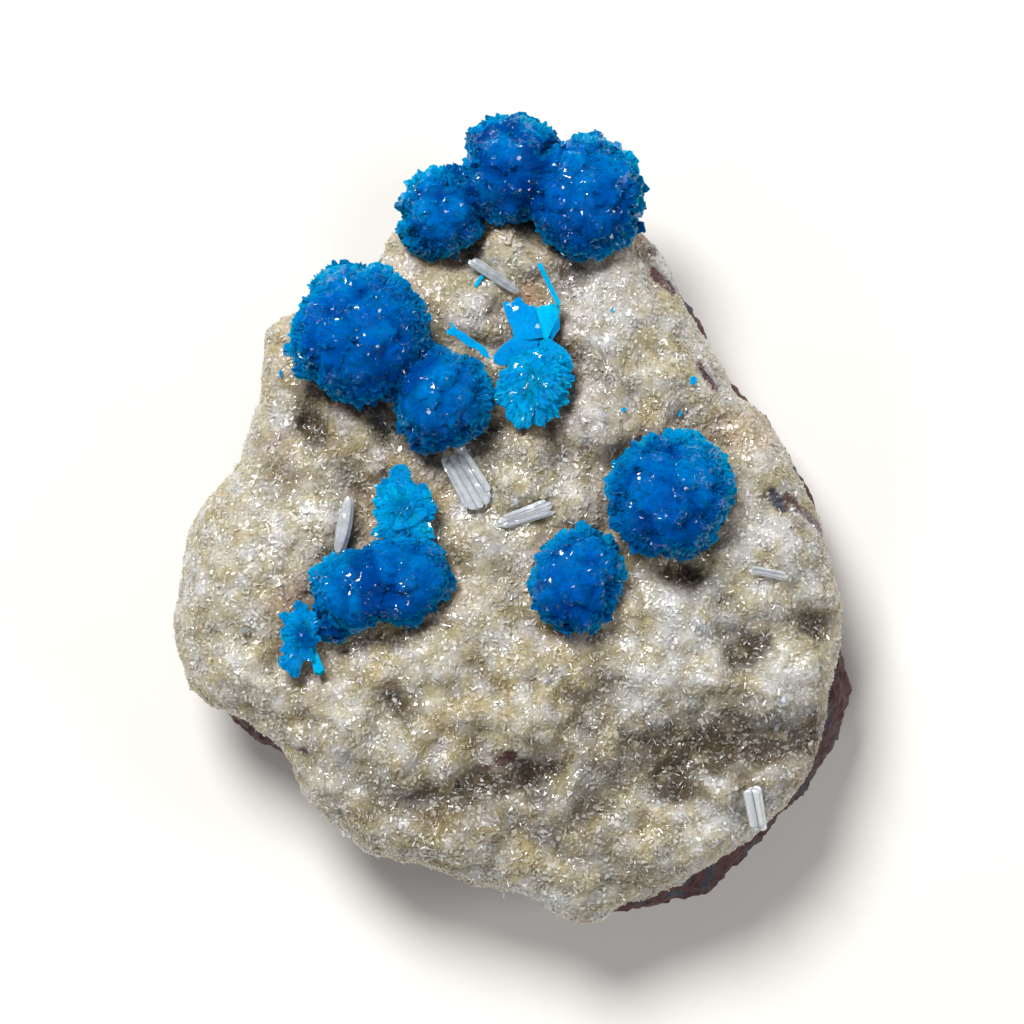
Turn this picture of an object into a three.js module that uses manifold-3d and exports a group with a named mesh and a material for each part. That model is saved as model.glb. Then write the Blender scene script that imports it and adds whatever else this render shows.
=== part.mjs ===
// Cavansite rosettes on a druse of stilbite over basalt: a loose specimen that lies on its trimmed back.
// Millimetres, +Z up. The crystal face looks up, and +Y runs to the narrow end, where three rosettes stand.
// Shapes are laid out from a working point near the middle of the plate. The finished group is then moved
// so that its origin is under the middle of the specimen, on the surface that it rests on.
import * as THREE from "three";
import { ImprovedNoise } from "three/addons/math/ImprovedNoise.js";
import { mergeVertices } from "three/addons/utils/BufferGeometryUtils.js";
import Module from "manifold-3d";

const wasm = await Module();
wasm.setup();

// ---- driving dimensions ----

const GAP = 0.35; // clearance cut between pieces that lie against each other
const TOLERANCE = 0.08; // edges finer than this are merged away
const PLATE_CENTRE = [0, -4]; // the point that both outlines are drawn round

const CONTACT_HEIGHT = 12; // basalt thickness where the druse starts
const CONTACT_SWELL = 0.9; // how far the basalt's upper face rises and falls
const BASALT_DETAIL = 10;
const BASALT_RIM_HEIGHT = 7.2; // the widest level of the basalt
const BASALT_SHOULDER = 0.88; // share of the radius where the upper face turns down to the rim
const REST_SHARE = 0.78; // share of the radius that is trimmed flat underneath
const BASALT_ROUGHNESS = 0.9;
const BASALT_RIM_SWAY = 1.4; // how far the widest level rises and falls
// Flat breaks in the basalt's sides: [direction, lean below the horizontal, distance from PLATE_CENTRE].
const FRACTURES = [
  [-54, 40, 33.8], [-10, 46, 31.8], [22, 34, 28.6], [50, 44, 27.6], [84, 38, 31.6],
  [118, 34, 30.4], [150, 46, 26.4], [180, 36, 29], [212, 42, 28.8], [246, 46, 28.2], [280, 34, 31.6],
];

const DRUSE_DETAIL = 24;
const DRUSE_THICKNESS = 2; // between mounds, at the rim
const DRUSE_DOME = 2.2; // extra height of the bare druse at the plate's centre
const DOME_RADIUS = 32;
const DRUSE_SKIRT = 1.6; // how far the druse wraps down over the basalt's edge
const DRUSE_SKIRT_SWAY = 0.7; // how unevenly it ends there
const MOUND_RELIEF = 1.25; // scales the heights of all mounds
const ROLLED_EDGE = 9; // exponent of the rounded rim where the druse grew over the edge
const SNAPPED_EDGE = 34; // exponent of the steep rim where the plate was broken
const SNAPPED_DIRECTION = THREE.MathUtils.degToRad(-15); // the middle of the broken side

// Counterclockwise from the east, as seen from above.
const DRUSE_OUTLINE = [
  [28.5, -5], [29.2, -8.5], [29, -11], [28.1, -14], [27.5, -18], [26.7, -21.5], [24.6, -24.4],
  [22.6, -27], [20, -28.8], [17, -30.7], [14.8, -32.4], [12, -33.3], [9.2, -34.1], [7.6, -35.6],
  [5.6, -35.9], [3.4, -34.9], [2, -33.6], [-1.4, -32.7], [-4.2, -32.3], [-6.4, -31], [-10, -30.2],
  [-12.8, -29.6], [-15, -27.6], [-18.3, -24.8], [-19.3, -22.4], [-20.2, -20.3], [-22.5, -18.7],
  [-24.6, -17.1], [-27.4, -16.4], [-28.8, -14.6], [-29.9, -11.4], [-30.3, -9], [-29.7, -5.5],
  [-29, -1.4], [-28.2, 1], [-26.4, 3], [-24.4, 5.4], [-23.8, 8], [-22.4, 11.2], [-22.5, 16.2],
  [-21, 18], [-18.4, 18.9], [-14.5, 20.5], [-12.2, 22.4], [-12, 23.8], [-10.3, 26], [-7.4, 28.4],
  [-4, 30], [0.5, 31.2], [5, 30.6], [8.6, 28.6], [10.9, 26.3], [12.4, 24.6], [14, 22.6],
  [14.3, 20.6], [16.2, 17.4], [18.4, 13.8], [19.4, 11.3], [21.8, 9.8], [23.4, 7.5], [24.8, 4.6],
  [26.8, 1], [27.5, -1.5],
];
const BASALT_OUTLINE = [
  [28, -3], [28.9, -9.8], [30.5, -13], [30.3, -15], [29.8, -17.4], [28.9, -20], [26.9, -23],
  [25, -25.4], [22.8, -28.1], [20.4, -30.2], [18.4, -31.8], [17.4, -33.8], [15.8, -35.2], [13, -35.5],
  [9.5, -35.9], [7.2, -35], [4.5, -34], [2, -32.6], [-3, -31.4], [-9, -29.4], [-13.5, -27.8],
  [-17.4, -24.4], [-19.6, -22], [-21.8, -20.4], [-24.2, -18.6], [-26.6, -17.4], [-27.8, -15],
  [-29, -11], [-29.2, -7], [-28.2, -2], [-26.2, 1.6], [-23.6, 5.2], [-22.4, 9], [-21.4, 12],
  [-21.3, 16], [-18, 18], [-12.8, 20.6], [-11, 23], [-9.2, 25.6], [-5, 28], [0, 29.6], [5, 29],
  [8, 27.2], [11, 25.4], [12.9, 24], [14.5, 21.6], [16.5, 18], [18.8, 13.8], [20, 11.6], [22.4, 9.8],
  [24.8, 5.4], [27.3, 1],
];

// Rounded mounds of the druse: [x, y, radius, height].
const MOUNDS = [
  // the north-west shoulder and the ridge below the crown
  [-20.2, 15.6, 3.2, 2.1], [-20.1, 12, 3.3, 1.9], [-21.2, 8, 3.5, 1.9], [-10.3, 24.2, 3, 2],
  [-9.8, 21.4, 3, 1.6], [-6.8, 19.8, 3, 2], [-3.8, 18.4, 2.8, 1.9], [-1.4, 17, 2, 1.2],
  [-0.6, 24.4, 2.7, 2.6], [2.4, 23, 2.4, 1.8], [-1.8, 21, 1.9, 0.9],
  // the pale north-east shoulder
  [8.9, 22.8, 2.9, 2.2], [6.6, 18.6, 3.2, 2.4], [10.6, 18.4, 3.3, 2.7], [8.4, 14.9, 3.5, 2.6],
  [13.2, 17.4, 2.4, 1.6], [5, 16, 2.1, 1.5], [13.2, 12.6, 3.3, 2.5], [16.6, 11.3, 3.1, 1.5],
  [7.6, 8.9, 4.2, 3.4], [12.1, 8.7, 2.6, 1.9], [20, 8.3, 2.9, 1.1], [21.9, 5, 4, 1.9],
  // the middle, below the bow tie
  [1.2, 6.5, 2.3, 2.5], [0.6, 3.2, 2.8, 1.7], [5.4, 1.6, 2.9, 1.5], [-3.2, -1.6, 3.2, 1],
  [1.2, -2.4, 2.6, 0.8],
  // the west: one broad low dome, and the mounds above it
  [-23.5, -4, 8.6, 2.6], [-23.6, 2, 3.6, 2.5], [-17.6, 4.6, 3.1, 1.8], [-14.4, 8.2, 3.4, 2.4],
  [-12.4, 5, 2.6, 1.6], [-16.6, 0.4, 3.6, 1.8], [-23.8, -13.4, 3.8, 1.9], [-20.2, -15.6, 3.2, 1.8],
  // the east
  [23.6, -2.6, 4.8, 2.4], [19.4, 0.4, 3.2, 1.7], [18.7, -3.1, 3.1, 2], [22.4, -6.4, 4.1, 2],
  [27, -6, 2.7, 1.6], [14.6, -8.4, 4.3, 1.9], [10.2, -7.8, 3.4, 1.3], [25.6, -12.8, 3.4, 2],
  [22.5, -15.6, 3.7, 2.9], [26.2, -16, 2.8, 1.7], [17.4, -13.8, 3.5, 2.6], [12.6, -13.2, 3.3, 2.1],
  [9.6, -12.2, 2.8, 1.5], [11.6, -16.2, 2.8, 2],
  // the centre and the south-west
  [5.4, -12.6, 3.1, 1.6], [1.5, -17.3, 4, 2.8], [0.4, -12.2, 3.6, 1.8], [-3, -8.6, 3.8, 1.6],
  [-7.4, -12.4, 3.4, 1.8], [-12, -13.4, 3.2, 1.8], [-16, -14.4, 3, 1.5], [-15, -18.4, 3, 2],
  [-8.2, -18, 3.2, 2.1], [-3.8, -16.4, 2.7, 1.6], [-19, -19.6, 2.7, 1.8], [-16.6, -23, 3, 1.9],
  [-10.4, -21.6, 3, 2], [-6.2, -21.4, 2.3, 1.5], [-13.4, -26, 2.7, 1.6], [-10, -27.6, 2.7, 1.5],
  // the southern slope
  [-5.8, -28.7, 2.8, 1.9], [-2.6, -27.2, 3, 2], [2.7, -25.6, 1.9, 2.2], [0.8, -30.4, 3, 1.9],
  [5.3, -23.6, 2.2, 1.7], [7.4, -20.8, 3.2, 2], [7.5, -28, 3.2, 2.1], [5.2, -32.2, 3, 1.8],
  [11.6, -29.6, 3.3, 1.9], [10.2, -24.8, 2.5, 1.7], [13.3, -26.2, 2.2, 1.8], [17.2, -28, 3.4, 2.2],
  [18.3, -23.4, 2.9, 2.4], [22.2, -23, 2.8, 1.7], [24.6, -21.4, 2.4, 1.2],
];
// Pits and clefts between them: [x, y, radius, depth].
const HOLLOWS = [
  [1.6, -22.9, 1.9, 2.4], [-3, -23.6, 2.3, 1.5], [5.9, 13.2, 1.8, 1.8], [-2.4, 9.4, 2.4, 1.2],
  [4.3, 6.2, 1.7, 1.4], [-17.6, 7.9, 1.7, 1.6], [12.4, 15.1, 1.3, 1.2], [19.8, -11.3, 2.2, 1.6],
  [17, -12.2, 1.3, 0.7], [26.6, -9.4, 2.2, 1.9], [22.4, -19.6, 2.5, 1.7], [26, -18.9, 2.2, 1.5],
  [17.6, -20.8, 2.8, 1.6], [14.6, -22.6, 2.4, 1.5], [-11.2, -16.5, 1.7, 1.2], [-12, -22.6, 1.8, 1.2],
  [5, -15.6, 1.4, 1], [14.8, -4.6, 1.9, 1.3], [5.6, 20.6, 2, 1.5], [-4.6, 25.4, 2.4, 1.1],
  [-8.6, -24.4, 2, 0.9], [7.4, -25.4, 1.5, 1],
];

// Cavansite rosettes. Each ball is [x, y, height of its centre over the druse, rx, ry, rz, turn].
const CROWN_BALLS = [
  [-6.4, 26.9, 1.6, 3.4, 3.6, 3.4, 0],
  [-0.6, 30, 2.3, 3.7, 3.9, 3.7, 0],
  [-1.6, 33.3, 1.9, 2.1, 2, 2.1, 0],
  [1.3, 33, 2, 2.1, 2, 2.1, 0],
  [6.3, 28.3, 3, 4.8, 5.1, 4.8, 0],
];
const WEST_BALLS = [
  [-13.2, 16.1, 3.6, 5.9, 5.8, 5.5, 0],
  [-6.3, 10.8, 3, 4, 4.2, 3.9, 0],
  [-7.1, 7.3, 1.6, 1.7, 1.3, 1.6, 0],
];
const TIE_BALLS = [[1.6, 11.8, 1.9, 3.4, 3.4, 3, 0]];
const EAST_BALLS = [[13.3, 2.3, 2.9, 5.1, 5.1, 4.6, 0]];
const SOUTH_BALLS = [[5.4, -5.1, 1.9, 3.6, 4.6, 3.2, -22]];
const SOUTHWEST_BALLS = [
  [-9.4, 1.7, 1.3, 2.2, 2.9, 2, 5],
  [-11.4, -5.6, 2.1, 6.1, 3.9, 3.4, 13],
  [-15.7, -9.1, 1.3, 1.9, 1.5, 1.6, 0],
  [-18.2, -8.7, 1.2, 1.7, 1.6, 1.5, 0],
];
const TIP_PITCH = 1.9; // radius that each split of a ball's faces is worth, so that all tips are alike
const TIP_RISE = 0.95; // how far the tallest crystal tips stand out of their ball
const TIP_LEAN = 0.5; // how far a tip can lean towards a corner of its base
const BALL_LUMPS = 0.12; // unevenness of a ball, as a share of its radius
const BLADE_WEDGE = 0.3; // length of a blade's pointed end, as a share of its width

// Blades: from and to are [x, y, height over the druse]; root and tip are the widths there.
const TIE_WAIST = [2.3, 16.2, 1.9];
const TIE_BLADES = [
  { from: TIE_WAIST, to: [-0.5, 19.2, 2.4], root: 0.7, tip: 1.7, thick: 1.1 },
  { from: TIE_WAIST, to: [1, 19.6, 2.1], root: 0.8, tip: 1.7, thick: 1.2 },
  { from: TIE_WAIST, to: [2.5, 19.2, 2.2], root: 0.8, tip: 1.6, thick: 1.1 },
  { from: TIE_WAIST, to: [3.8, 19, 2.9], root: 0.6, tip: 1.3, thick: 0.8 },
  { from: TIE_WAIST, to: [3.6, 17.2, 1.2], root: 0.7, tip: 1.3, thick: 0.9 },
  { from: TIE_WAIST, to: [-1.3, 13.7, 1.8], root: 0.8, tip: 2.1, thick: 1.2 },
  { from: TIE_WAIST, to: [0.8, 12.4, 2.8], root: 1, tip: 3, thick: 1.4 },
  { from: TIE_WAIST, to: [3.8, 13, 2.3], root: 0.9, tip: 2.6, thick: 1.4 },
  { from: [3.7, 18.8, 2.5], to: [2.1, 22.2, 4.6], root: 0.55, tip: 0.45, thick: 0.45 },
];
const SPRIG_BLADES = [
  { from: [-2.6, 14.4, 1.9], to: [-5.8, 16.5, 1.2], root: 0.9, tip: 0.6, thick: 0.6 },
  { from: [-4.2, 15.4, 1.5], to: [-5.6, 17.3, 1.2], root: 0.6, tip: 0.45, thick: 0.5 },
];
const STAR_HEART = [-17.9, -10.3, 1];
const STAR_BLADES = [
  { from: STAR_HEART, to: [-20.3, -12.2, 1.1], root: 1, tip: 1.4, thick: 1 },
  { from: STAR_HEART, to: [-19.1, -13.4, 1.2], root: 1, tip: 1.4, thick: 1.2 },
  { from: STAR_HEART, to: [-16.7, -13.3, 1.4], root: 0.8, tip: 1.1, thick: 0.9 },
  { from: STAR_HEART, to: [-20.4, -10, 1.4], root: 0.9, tip: 1.4, thick: 0.8 },
];

// Stilbite sheaves: each a bundle of `count` flat blades that spreads by `fan` degrees at its tip.
const STILBITE_SHEAVES = {
  stilbite_sheaf_centre: {
    from: [-5.6, 6.3, 0.7], to: [-2.9, 1.2, 0.9], width: 0.85, thick: 0.8, count: 4, fan: 5, pitch: 0.55,
  },
  stilbite_sheaf_middle: {
    from: [-1, 0, 0.4], to: [3.3, 1.8, 0.5], width: 0.8, thick: 0.7, count: 3, fan: 7, pitch: 0.45,
  },
  stilbite_blade_west: {
    from: [-14.4, 2.3, 0.8], to: [-15, -2.8, 1.4], width: 0.9, thick: 0.8, count: 2, fan: 5, pitch: 0.35,
  },
  stilbite_blade_north: {
    from: [0.2, 20.2, 0.7], to: [-3.8, 22.8, 1.1], width: 0.75, thick: 0.6, count: 2, fan: 3, pitch: 0.25,
  },
  stilbite_blade_southeast: {
    from: [20.5, -23, 0.5], to: [21.2, -27.2, 0.7], width: 0.75, thick: 0.7, count: 3, fan: 4, pitch: 0.4,
  },
  stilbite_blade_east: {
    from: [20.5, -4.1, 0.7], to: [23.9, -4.9, 0.5], width: 0.7, thick: 0.7, count: 2, fan: 5, pitch: 0.3,
  },
};

const MATERIALS = {
  basalt: new THREE.MeshStandardMaterial({ color: "#4a3636", roughness: 0.92, flatShading: true }),
  druse: new THREE.MeshStandardMaterial({ color: "#cfc4a6", roughness: 0.45, flatShading: true }),
  cavansite: new THREE.MeshStandardMaterial({ color: "#0a63b4", roughness: 0.35, flatShading: true }),
  stilbite: new THREE.MeshStandardMaterial({
    color: "#dde4ea", roughness: 0.2, transparent: true, opacity: 0.7, flatShading: true,
  }),
};

// ---- solids and geometries ----

// The same surface with its shared vertices merged, and with positions only.
function welded(geometry) {
  const bare = geometry.clone();
  bare.deleteAttribute("normal");
  bare.deleteAttribute("uv");
  return mergeVertices(bare, 1e-4);
}

function solidOf(geometry) {
  const { attributes, index } = welded(geometry);
  return new wasm.Manifold(
    new wasm.Mesh({
      numProp: 3,
      vertProperties: new Float32Array(attributes.position.array),
      triVerts: new Uint32Array(index.array),
    }),
  );
}

function geometryOf(solid) {
  const mesh = solid.getMesh();
  return new THREE.BufferGeometry()
    .setAttribute("position", new THREE.BufferAttribute(mesh.vertProperties, 3))
    .setIndex(new THREE.BufferAttribute(mesh.triVerts, 1));
}

// A cut solid without its crumbs, and without edges shorter than TOLERANCE.
function cleaned(solid) {
  const bodies = solid.asOriginal().simplify(TOLERANCE).decompose();
  return bodies.reduce((a, b) => (a.volume() > b.volume() ? a : b));
}

// The same surface with every vertex pushed outwards, for cutting a seat with clearance.
function grown(geometry, distance) {
  const surface = welded(geometry);
  surface.computeVertexNormals();
  const { position, normal } = surface.attributes;
  for (let i = 0; i < position.count; i++) {
    position.setXYZ(
      i,
      position.getX(i) + normal.getX(i) * distance,
      position.getY(i) + normal.getY(i) * distance,
      position.getZ(i) + normal.getZ(i) * distance,
    );
  }
  return surface;
}

// ---- natural variation ----

const perlin = new ImprovedNoise();
const NOISE_OFFSET = 31.7; // keeps the samples off the noise lattice's zeros

// Smooth noise from -1 to 1 with features about `size` mm across.
function waver(x, y, z, size) {
  return perlin.noise(x / size + NOISE_OFFSET, y / size + NOISE_OFFSET, z / size + NOISE_OFFSET);
}

// A repeatable number from 0 to 1 for a point and a channel.
function chance(x, y, z, channel) {
  const s = Math.sin(x * 127.1 + y * 311.7 + z * 74.7 + channel * 53.3) * 43758.5453;
  return s - Math.floor(s);
}

// ---- the plate: basalt and the druse that coats it ----

// The distance from PLATE_CENTRE to a closed outline, as a function of the angle.
function outlineReach(points) {
  const [cx, cy] = PLATE_CENTRE;
  const smooth = new THREE.CatmullRomCurve3(
    points.map(([x, y]) => new THREE.Vector3(x - cx, y - cy, 0)),
    true,
    "centripetal",
  ).getPoints(points.length * 6);
  const polar = smooth.map((p) => [Math.atan2(p.y, p.x), Math.hypot(p.x, p.y)]);
  polar.sort((a, b) => a[0] - b[0]);
  polar.push([polar[0][0] + 2 * Math.PI, polar[0][1]]);
  polar.unshift([polar.at(-2)[0] - 2 * Math.PI, polar.at(-2)[1]]);
  return (angle) => {
    const after = Math.max(1, polar.findIndex(([a]) => a > angle));
    const [[a0, r0], [a1, r1]] = [polar[after - 1], polar[after]];
    return THREE.MathUtils.mapLinear(angle, a0, Math.max(a1, a0 + 1e-9), r0, r1);
  };
}

// A subdivided octahedron pressed into a plate. Each point goes to its share of the outline's reach, which
// keeps the triangles about equal in area, and to the height that top, bottom or rim gives for it.
function pressedPlate({ detail, outline, top, bottom, rim }) {
  const plate = new THREE.OctahedronGeometry(1, detail);
  const reach = outlineReach(outline);
  const { position } = plate.attributes;
  const p = new THREE.Vector3();
  for (let i = 0; i < position.count; i++) {
    p.fromBufferAttribute(position, i);
    const share = Math.sqrt(Math.max(0, 1 - Math.abs(p.z)));
    const angle = Math.hypot(p.x, p.y) < 1e-6 ? 0 : Math.atan2(p.y, p.x);
    const radius = share * reach(angle);
    const x = PLATE_CENTRE[0] + radius * Math.cos(angle);
    const y = PLATE_CENTRE[1] + radius * Math.sin(angle);
    const onRim = Math.abs(p.z) < 1e-6;
    const height = onRim ? rim : p.z > 0 ? top : bottom;
    position.setXYZ(i, x, y, height(x, y, share, angle));
  }
  return plate;
}

// The undulating surface where the druse meets the basalt.
function contact(x, y) {
  return CONTACT_HEIGHT + CONTACT_SWELL * (Math.sin(x / 9 + 0.6) * Math.cos(y / 11) - 0.15);
}

function basaltGeometry() {
  const rough = (x, y, z) => BASALT_ROUGHNESS * (waver(x, y, z, 6) + 0.6 * waver(x, y, z, 2.7));
  const rim = (x, y) => BASALT_RIM_HEIGHT + BASALT_RIM_SWAY * waver(x, y, 0, 9);
  const top = (x, y, share) => {
    const turned = Math.max(0, (share - BASALT_SHOULDER) / (1 - BASALT_SHOULDER));
    const face = contact(x, y) + (turned > 0 ? rough(x, y, 9) : 0);
    return THREE.MathUtils.lerp(face, rim(x, y), turned ** 1.4);
  };
  const bottom = (x, y, share) => {
    if (share <= REST_SHARE) return 0;
    const climb = (share - REST_SHARE) / (1 - REST_SHARE);
    return Math.max(0, rim(x, y) * climb ** 1.7 + 1.6 * climb * (1 - climb) * rough(x, y, 0));
  };
  return pressedPlate({ detail: BASALT_DETAIL, outline: BASALT_OUTLINE, top, bottom, rim });
}

// The height of the druse's surface, away from its rim.
function druseHeight(x, y) {
  const share = Math.hypot(x - PLATE_CENTRE[0], y - PLATE_CENTRE[1]) / DOME_RADIUS;
  const bare = DRUSE_THICKNESS + DRUSE_DOME * Math.max(0, 1 - share ** 2);
  const rise = ([mx, my, radius, height]) =>
    height * Math.max(0, 1 - ((x - mx) ** 2 + (y - my) ** 2) / radius ** 2);
  const mound = MOUND_RELIEF * Math.max(...MOUNDS.map(rise));
  const hollow = Math.max(...HOLLOWS.map(rise));
  return contact(x, y) + bare + mound - hollow;
}

function druseGeometry() {
  const rim = (x, y) => contact(x, y) - 0.5 * DRUSE_SKIRT + DRUSE_SKIRT_SWAY * waver(x, y, 0, 4);
  const top = (x, y, share, angle) => {
    const broken = THREE.MathUtils.smoothstep(Math.cos(angle - SNAPPED_DIRECTION), -0.1, 0.45);
    const roll = Math.sqrt(1 - share ** THREE.MathUtils.lerp(ROLLED_EDGE, SNAPPED_EDGE, broken));
    return THREE.MathUtils.lerp(rim(x, y), druseHeight(x, y), roll);
  };
  const bottom = (x, y) => contact(x, y) - DRUSE_SKIRT - CONTACT_SWELL;
  return pressedPlate({ detail: DRUSE_DETAIL, outline: DRUSE_OUTLINE, top, bottom, rim });
}

// ---- crystals ----

// A point given by its height over the druse.
function overDruse([x, y, lift]) {
  return new THREE.Vector3(x, y, druseHeight(x, y) + lift);
}

// A ball of radiating crystals: every face of a subdivided icosahedron is raised to a low, uneven tip.
function rosetteBall([x, y, lift, rx, ry, rz, turn]) {
  const ball = new THREE.IcosahedronGeometry(1, Math.round(Math.max(rx, ry) / TIP_PITCH) - 1);
  const { position } = ball.attributes;
  const points = [];
  for (let i = 0; i < position.count; i += 3) {
    const corners = [0, 1, 2].map((k) => new THREE.Vector3().fromBufferAttribute(position, i + k));
    const tip = new THREE.Vector3().add(corners[0]).add(corners[1]).add(corners[2]).divideScalar(3);
    const luck = (channel) => chance(tip.x + x, tip.y + y, tip.z, channel);
    tip.lerp(corners[Math.floor(3 * luck(1))], TIP_LEAN * luck(2));
    tip.setLength(1 + (TIP_RISE * (0.2 + 0.8 * luck(3))) / rx);
    for (const p of [...corners, tip]) {
      p.multiplyScalar(1 + BALL_LUMPS * waver(p.x + x, p.y + y, p.z, 0.8));
    }
    corners.forEach((corner, k) => points.push(corner, corners[(k + 1) % 3], tip));
  }
  const grownBall = new THREE.BufferGeometry().setFromPoints(points).scale(rx, ry, rz);
  grownBall.rotateZ(THREE.MathUtils.degToRad(turn)).translate(...overDruse([x, y, lift]).toArray());
  return solidOf(grownBall);
}

// A flat crystal from one point to another, with a blunt wedge for a tip. Its broad face looks up.
function bladeSolid({ from, to, root, tip, thick }) {
  const foot = overDruse(from);
  const along = overDruse(to).sub(foot);
  const length = along.length();
  const wedge = BLADE_WEDGE * tip;
  const outline = new THREE.Shape([
    new THREE.Vector2(-root / 2, 0),
    new THREE.Vector2(root / 2, 0),
    new THREE.Vector2(tip / 2, length - wedge),
    new THREE.Vector2(0, length),
    new THREE.Vector2(-tip / 2, length - wedge),
  ]);
  const blade = new THREE.ExtrudeGeometry(outline, { depth: thick, bevelEnabled: false });
  blade.translate(0, 0, -thick / 2);
  along.normalize();
  const across = new THREE.Vector3().crossVectors(along, new THREE.Vector3(0, 0, 1)).normalize();
  const normal = new THREE.Vector3().crossVectors(across, along);
  blade.applyMatrix4(new THREE.Matrix4().makeBasis(across, along, normal).setPosition(foot));
  return solidOf(blade);
}

// Blades side by side that share a foot and spread a little towards their tips.
function sheafSolid({ from, to, width, thick, count, fan, pitch }) {
  const heading = Math.atan2(to[1] - from[1], to[0] - from[0]);
  const length = Math.hypot(to[1] - from[1], to[0] - from[0]);
  const blades = Array.from({ length: count }, (_, i) => {
    const side = i - (count - 1) / 2;
    const turned = heading + THREE.MathUtils.degToRad(side * fan);
    const shorter = length * (1 - 0.12 * chance(i, length, width, 2));
    const foot = [from[0] - side * pitch * Math.sin(heading), from[1] + side * pitch * Math.cos(heading)];
    return bladeSolid({
      from: [...foot, from[2] + 0.18 * (i % 2)],
      to: [foot[0] + shorter * Math.cos(turned), foot[1] + shorter * Math.sin(turned), to[2]],
      root: width * 0.85,
      tip: width,
      thick,
    });
  });
  return wasm.Manifold.union(blades);
}

// ---- the specimen ----

// A solid without what lies outside a flat break.
function fractured(solid, [direction, lean, distance]) {
  const turn = THREE.MathUtils.degToRad(direction);
  const drop = THREE.MathUtils.degToRad(lean);
  const heading = new THREE.Vector3(Math.cos(turn), Math.sin(turn), 0);
  const outward = heading.clone().multiplyScalar(Math.cos(drop)).setZ(-Math.sin(drop));
  const onBreak = new THREE.Vector3(...PLATE_CENTRE, BASALT_RIM_HEIGHT).addScaledVector(heading, distance);
  return solid.trimByPlane(outward.clone().negate().toArray(), -outward.dot(onBreak));
}

const basaltShape = basaltGeometry();
const druseShape = druseGeometry();
const basalt = cleaned(FRACTURES.reduce(fractured, solidOf(basaltShape)));
const druse = cleaned(solidOf(druseShape).subtract(solidOf(grown(basaltShape, GAP))));
const seat = solidOf(grown(druseShape, GAP));

// Crystals that grew together, as one solid that sits on the druse.
function grownTogether(balls, blades = []) {
  const crystals = wasm.Manifold.union([...balls.map(rosetteBall), ...blades.map(bladeSolid)]);
  return cleaned(crystals.subtract(seat));
}

const specimen = new THREE.Group();

// Adds a named mesh with its geometry centred on itself and its place in its position.
function addPiece(name, solid, material) {
  const geometry = geometryOf(solid);
  geometry.computeBoundingBox();
  const middle = geometry.boundingBox.getCenter(new THREE.Vector3());
  const mesh = new THREE.Mesh(geometry.translate(-middle.x, -middle.y, -middle.z), material);
  mesh.name = name;
  mesh.position.copy(middle);
  specimen.add(mesh);
}

addPiece("basalt_matrix", basalt, MATERIALS.basalt);
addPiece("stilbite_druse", druse, MATERIALS.druse);
addPiece("cavansite_crown", grownTogether(CROWN_BALLS), MATERIALS.cavansite);
addPiece("cavansite_west", grownTogether(WEST_BALLS, SPRIG_BLADES), MATERIALS.cavansite);
addPiece("cavansite_bow_tie", grownTogether(TIE_BALLS, TIE_BLADES), MATERIALS.cavansite);
addPiece("cavansite_east", grownTogether(EAST_BALLS), MATERIALS.cavansite);
addPiece("cavansite_south", grownTogether(SOUTH_BALLS), MATERIALS.cavansite);
addPiece("cavansite_southwest", grownTogether(SOUTHWEST_BALLS, STAR_BLADES), MATERIALS.cavansite);
for (const [name, sheaf] of Object.entries(STILBITE_SHEAVES)) {
  addPiece(name, cleaned(sheafSolid(sheaf).subtract(seat)), MATERIALS.stilbite);
}

// The origin goes under the middle of the specimen, at its foot.
const extent = new THREE.Box3().setFromObject(specimen, true);
const middle = extent.getCenter(new THREE.Vector3());
specimen.position.set(-middle.x, -middle.y, -extent.min.z);

const part = new THREE.Group();
part.add(specimen);
export default part;
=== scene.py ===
"""Cavansite rosettes on a stilbite druse over basalt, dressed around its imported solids.

Each group of pieces has an operator of its own, and the panel in the 3D view's sidebar lists them in
the order they run, with their settings. Lengths are metres, in the specimen's own frame: +Z up, the rock
resting on Z = 0. The tables below are in millimetres, seen from above, +Y up the specimen.
"""

import math
import random

import bmesh
import bpy
import numpy as np
from mathutils import Matrix, Vector, noise
from mathutils.bvhtree import BVHTree


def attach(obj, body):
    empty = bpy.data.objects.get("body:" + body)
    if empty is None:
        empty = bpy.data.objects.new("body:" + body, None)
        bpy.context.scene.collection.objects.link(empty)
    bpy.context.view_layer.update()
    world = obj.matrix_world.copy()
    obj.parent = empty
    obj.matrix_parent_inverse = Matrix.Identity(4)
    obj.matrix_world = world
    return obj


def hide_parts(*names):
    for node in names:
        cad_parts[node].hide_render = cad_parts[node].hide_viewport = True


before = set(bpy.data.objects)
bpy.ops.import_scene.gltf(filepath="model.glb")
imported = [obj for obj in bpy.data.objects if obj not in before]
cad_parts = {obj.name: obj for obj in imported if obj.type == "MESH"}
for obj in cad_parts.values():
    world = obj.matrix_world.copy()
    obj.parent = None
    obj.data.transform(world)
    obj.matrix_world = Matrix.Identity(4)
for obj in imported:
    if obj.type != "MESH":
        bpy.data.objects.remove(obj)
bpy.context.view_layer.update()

bl_info = {
    "name": "Cavansite Specimen",
    "version": (1, 0, 0),
    "blender": (4, 5, 0),
    "location": "View3D > Sidebar > Cavansite",
    "description": "Grows the crystals and finishes of a cavansite specimen around its solids",
    "category": "Object",
}

MM = 0.001
TINY = 0.001 * MM  # two points closer than this are one
PER_MM2 = 1e6  # one crystal a square millimetre, as a density a square metre
UP = Vector((0, 0, 1))

ROCK_NODE = "basalt_matrix"
CRUST_NODE = "stilbite_druse"
ROSETTE_NODES = [name for name in sorted(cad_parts) if name.startswith("cavansite_")]
BLADE_KINDS = ("stilbite_sheaf", "stilbite_blade")
BLADE_NODES = [name for name in sorted(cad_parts) if name.startswith(BLADE_KINDS)]

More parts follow.
